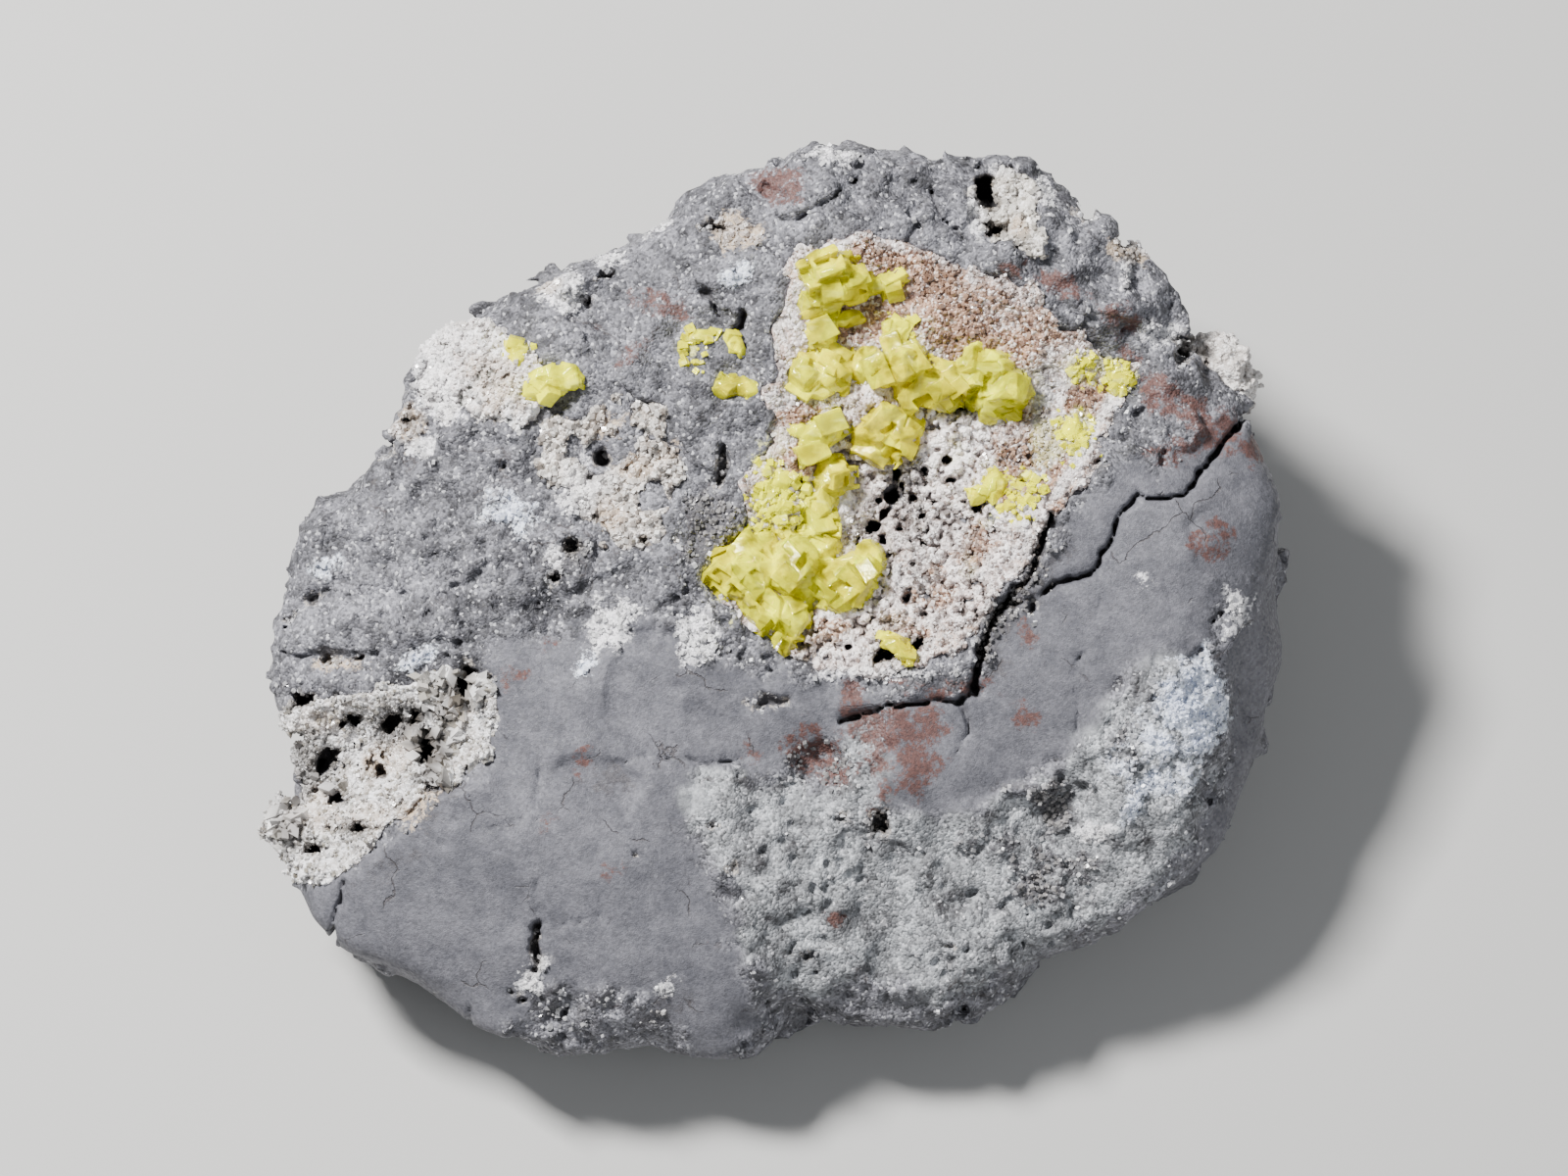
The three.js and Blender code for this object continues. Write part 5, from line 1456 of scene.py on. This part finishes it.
SULFUR_STEP = 0.16
BREAK_SIZE, BREAK_SEED = 4.6, 21  # mm across a flat break
SULFUR_FACES = 150_000  # triangles of all the groups together
SULFUR_GROWTH = 0.3  # fills the CAD model's clearance between two minerals
SULFUR_SINK = 0.45  # the crystals' feet lie in the crust
DEEP_SINK = 1.1  # as do these thin veins and chips, deeper
DEEP_SET = (
    "sulfur_vein_left", "sulfur_vein_right", "sulfur_centre_chip", "sulfur_left_chip", "sulfur_lobe_left",
    "sulfur_lobe_right", "sulfur_lobe_lower", "sulfur_pale_chip",
)
SULFUR_MARGIN = 1.5  # the most that blocks and breaks move the surface
SHARP = math.radians(20)  # edges sharper than this show as edges
# Blocks to the mm2, their shortest and longest side in mm, and how far out they sit in shares of a side.
GROWN_BLOCKS = (0.014, 2.6, 6.4, -0.28)
BROKEN_CORNERS = (0.03, 1.2, 3.2, 0.3)
BLOCK_SKEW = 0.16  # how far a block's faces turn from the crystal's lattice
FULL_GROUP = 15  # a group whose surface is smaller than a square of this side, in mm, has smaller blocks

# How each group looks: body colour from lemon (0) to deep gold (1), and how frosted and pale it is.
SULFUR_LOOKS = {
    "sulfur_lower_cluster": (0.4, 0.1),
    "sulfur_top_crystal": (0.5, 0.25),
    "sulfur_row_centre": (0.75, 0.0),
    "sulfur_row_right": (0.15, 0.3),
    "sulfur_row_left": (0.55, 0.35),
    "sulfur_flower": (1.0, 0.0),
    "sulfur_jagged": (0.15, 0.6),
    "sulfur_round": (0.7, 0.15),
    "sulfur_pale_blade": (0.15, 0.8),
    "sulfur_small_block": (0.35, 0.5),
    "sulfur_chip_upper": (0.2, 0.9),
    "sulfur_pale_chip": (0.0, 1.0),
    "sulfur_bottom_chip": (0.8, 0.4),
    "sulfur_right_sliver": (0.4, 0.6),
    "sulfur_left_crystal": (0.0, 0.35),
    "sulfur_left_chip": (0.4, 0.6),
    "sulfur_centre_chip": (0.5, 0.4),
    "sulfur_vein_left": (0.4, 0.6),
    "sulfur_vein_right": (0.4, 0.6),
    "sulfur_lobe_left": (0.2, 1.0),
    "sulfur_lobe_right": (0.2, 1.0),
    "sulfur_lobe_lower": (0.2, 1.0),
}


def broken_faces(p):
    """Flat breaks and low steps across a crystal."""
    _, offset, owner = cells(p, BREAK_SIZE, BREAK_SEED)
    return np.clip(0.42 * cell_tilt(offset, owner) + 0.10 * of_cell(lattice, owner), -0.55, 0.55)


def break_level(p):
    """A number from -1 to 1 for each flat break, the same all over it."""
    _, _, owner = cells(p, BREAK_SIZE, BREAK_SEED)
    return of_cell(lattice, owner)


def node_triangles(name):
    """A corner of each triangle of a CAD node, its two sides from there, and their cross product."""
    points, triangles = node_mesh(name)
    a, b, c = (points[triangles[:, k]] for k in range(3))
    return a, b - a, c - a, np.cross(b - a, c - a)


def surface_spots(name, count, random):
    """Random places on the upward side of a CAD node, with their normals."""
    corner, side, other_side, normals = node_triangles(name)
    areas = np.linalg.norm(normals, axis=1) + 1e-9
    normals /= areas[:, None]
    weight = areas * (normals[:, 2] > -0.25)
    picked = random.choice(len(corner), count, p=weight / weight.sum())
    share = random.uniform(0, 1, (count, 2))
    share = np.where(share.sum(1, keepdims=True) > 1, 1 - share, share)
    spots = corner[picked] + share[:, :1] * side[picked] + share[:, 1:] * other_side[picked]
    return spots, normals[picked]


def node_area(name):
    """The surface of a CAD node in mm2."""
    _, _, _, normals = node_triangles(name)
    return 0.5 * np.linalg.norm(normals, axis=1).sum()


def random_blocks(name, random, lattice_turn, scale, share, shortest, longest, lift):
    """Skewed blocks on a crystal, nearly in line with its lattice: middle, directions, half sizes."""
    count = max(2, int(node_area(name) * share))
    spots, normals = surface_spots(name, count, random)
    lengths = random.uniform(shortest * scale, longest * scale, (count, 3))
    middles = spots + normals * (lift * lengths.mean(1))[:, None]
    turned = lattice_turn + random.normal(0, BLOCK_SKEW, (count, 3, 3))
    turned /= np.linalg.norm(turned, axis=2)[:, :, None]
    return list(zip(middles, turned, lengths / 2))


def inside_block(p, block):
    """Distance to a block's faces, negative inside, and which points are near enough to matter."""
    middle, axes, half = block
    away = p - middle
    near = np.flatnonzero((away * away).sum(1) < (1.9 * half.max() + 0.6) ** 2)
    distance = (np.abs(away[near] @ axes.T) - half).max(1)
    return near, distance


def crystal_detail(name, seed):
    """What to add to a sulfur node: small crystals grown on it, and corners broken out of it."""
    random = np.random.default_rng(seed)
    lattice_turn = turns(1, random, np.array([[0.3, 0.2, 1.0]]), 0.6)
    scale = float(np.clip(math.sqrt(node_area(name)) / FULL_GROUP, 0.4, 1.0))
    grown = random_blocks(name, random, lattice_turn, scale, *GROWN_BLOCKS)
    broken = random_blocks(name, random, lattice_turn, scale, *BROKEN_CORNERS)

    def reshape(p, distance):
        distance = distance - broken_faces(p)
        for block in grown:
            near, inside = inside_block(p, block)
            distance[near] = np.minimum(distance[near], inside)
        for block in broken:
            near, inside = inside_block(p, block)
            distance[near] = np.maximum(distance[near], -inside)
        return distance

    return reshape


DUST_SIZE = 0.85  # mm
DUST_STRETCH = 0.9
DUST_FROSTED = 0.9
DUST_SEED = 900
# Where loose sulfur grains lie: the node they lie round, how many, and their middle u, v and spread.
SULFUR_DUST = [
    ("sulfur_pale_chip", 150, 1.5, 19.5, 3.4), ("sulfur_pale_blade", 40, 5.5, 11.5, 2.4),
    ("sulfur_lobe_left", 40, 54.5, 40.5, 2.2), ("sulfur_lobe_right", 50, 60.5, 39.5, 2.2),
    ("sulfur_lobe_lower", 70, 53.2, 30, 2.8), ("sulfur_right_sliver", 70, 43.5, 19, 3.6),
    ("sulfur_chip_upper", 26, 22.5, 47.5, 2), ("sulfur_vein_left", 24, -13, 44.5, 2.6),
    ("sulfur_left_crystal", 30, -43, 39, 3), ("sulfur_lower_cluster", 60, 1, 11.5, 4.5),
]


def build_dust(crust, rock):
    """Small sulfur grains on the druse and the stone round the larger crystals."""
    for seed, (node, count, u, v, spread) in enumerate(SULFUR_DUST):
        random = np.random.default_rng(DUST_SEED + seed)

        def nearby(p):
            square = (p[:, 0] - u) ** 2 + (p[:, 1] - v) ** 2
            return np.exp(-square / (spread * spread)) * face_part(p)

        on = crust if nearby(mesh_points(crust)).max() > 0.5 else rock
        places, normals = outer_spots(on, count, nearby, random)
        sizes = DUST_SIZE * np.exp(np.clip(random.normal(0, 0.4, count), -0.8, 0.6))
        rotations = turns(count, random, normals, 1.0)
        obj, p = strew(node + "_dust", node, "sulfur", sulfur_mineral, places, sizes, rotations,
                       diagonal_crystal(DUST_STRETCH))
        store(obj, "depth", np.full(len(p), SULFUR_LOOKS[node][0]))
        store(obj, "frosted", np.full(len(p), DUST_FROSTED))


def build_sulfur():
    areas = {name: node_area(name) for name in SULFUR_NODES}
    whole = sum(areas.values())
    for seed, name in enumerate(SULFUR_NODES):
        reshape = crystal_detail(name, seed)
        sink = DEEP_SINK if name in DEEP_SET else SULFUR_SINK
        made = distance_mesh(name, SULFUR_STEP * COARSER, SULFUR_GROWTH, sink, reshape, SULFUR_MARGIN)
        crystal = make_object(name + "_crystal", *made)
        decimate(crystal, SULFUR_FACES * areas[name] / whole)
        crystal.data.set_sharp_from_angle(angle=SHARP)
        finish_piece(crystal, name, "sulfur")
        p = mesh_points(crystal)
        depth, frosted = SULFUR_LOOKS[name]
        store(crystal, "break", break_level(p))
        store(crystal, "depth", np.full(len(p), depth))
        store(crystal, "frosted", np.full(len(p), frosted))
        crystal.data.materials.append(sulfur_mineral)


# ------------------------------------------------------------------ floor, light and camera

FLOOR_SIZE = 4.0
FLOOR_COLOUR = (0.43, 0.43, 0.425, 1)
FLOOR_ROUGHNESS = 0.9
# Area lights: place, side in metres, power in watts and colour.
LIGHTS = {
    "key": ((-0.50, 0.30, 0.95), 0.2, 40, (1.0, 0.985, 0.965)),
    "fill": ((0.7, -0.6, 0.7), 0.9, 4, (0.94, 0.97, 1.0)),
}
LIT_SPOT = (0, 0, 0.04)
SKY_COLOUR = (0.9, 0.92, 0.95, 1)
SKY_STRENGTH = 0.27
CAMERA_LENS = 180.0
SENSOR = 36.0
CLIP_START, CLIP_END = 0.01, 20
VIEW_WIDTH = 0.2743  # metres across the picture at the face
VIEW_MIDDLE = (2.2, 2.4, 0.0)  # what the camera looks at, in mm in the face frame


def build_floor():
    bpy.ops.mesh.primitive_plane_add(size=FLOOR_SIZE, location=(0, 0, 0))
    floor = bpy.context.object
    floor.name = "floor"
    n = Nodes("floor")
    n.shader.inputs["Base Color"].default_value = FLOOR_COLOUR
    n.shader.inputs["Roughness"].default_value = FLOOR_ROUGHNESS
    floor.data.materials.append(n.material)


def aim(obj, target):
    direction = np.array(target) - np.array(obj.location)
    obj.rotation_mode = "QUATERNION"
    obj.rotation_quaternion = Vector(direction).to_track_quat("-Z", "Y")


def add_area(name, place, size, power, colour):
    light = bpy.data.lights.new(name, "AREA")
    light.shape = "SQUARE"
    light.size = size
    light.energy = power
    light.color = colour
    obj = bpy.data.objects.new(name, light)
    obj.location = place
    bpy.context.scene.collection.objects.link(obj)
    aim(obj, LIT_SPOT)


def build_lights():
    for name, light in LIGHTS.items():
        add_area(name, *light)
    world = bpy.data.worlds.new("studio")
    bpy.context.scene.world = world
    world.use_nodes = True
    world.node_tree.nodes["Background"].inputs["Color"].default_value = SKY_COLOUR
    world.node_tree.nodes["Background"].inputs["Strength"].default_value = SKY_STRENGTH


def build_camera():
    data = bpy.data.cameras.new("camera")
    data.lens = CAMERA_LENS
    data.sensor_width = SENSOR
    camera = bpy.data.objects.new("camera", data)
    bpy.context.scene.collection.objects.link(camera)
    distance = VIEW_WIDTH * CAMERA_LENS / SENSOR
    middle = to_world(np.array([VIEW_MIDDLE]))[0]
    camera.location = middle + FACE_AXES[2] * distance
    aim(camera, middle)
    bpy.context.scene.camera = camera
    data.clip_start, data.clip_end = CLIP_START, CLIP_END


rock = build_rock()
surfaces = {"stone": rock}
for node, chart, *crust_spec in CRUSTS:
    surfaces[chart] = build_crust(node, chart, *crust_spec)
build_crystals(surfaces)
build_knob()
build_sulfur()
build_dust(surfaces["main"], rock)
build_floor()
build_lights()
build_camera()
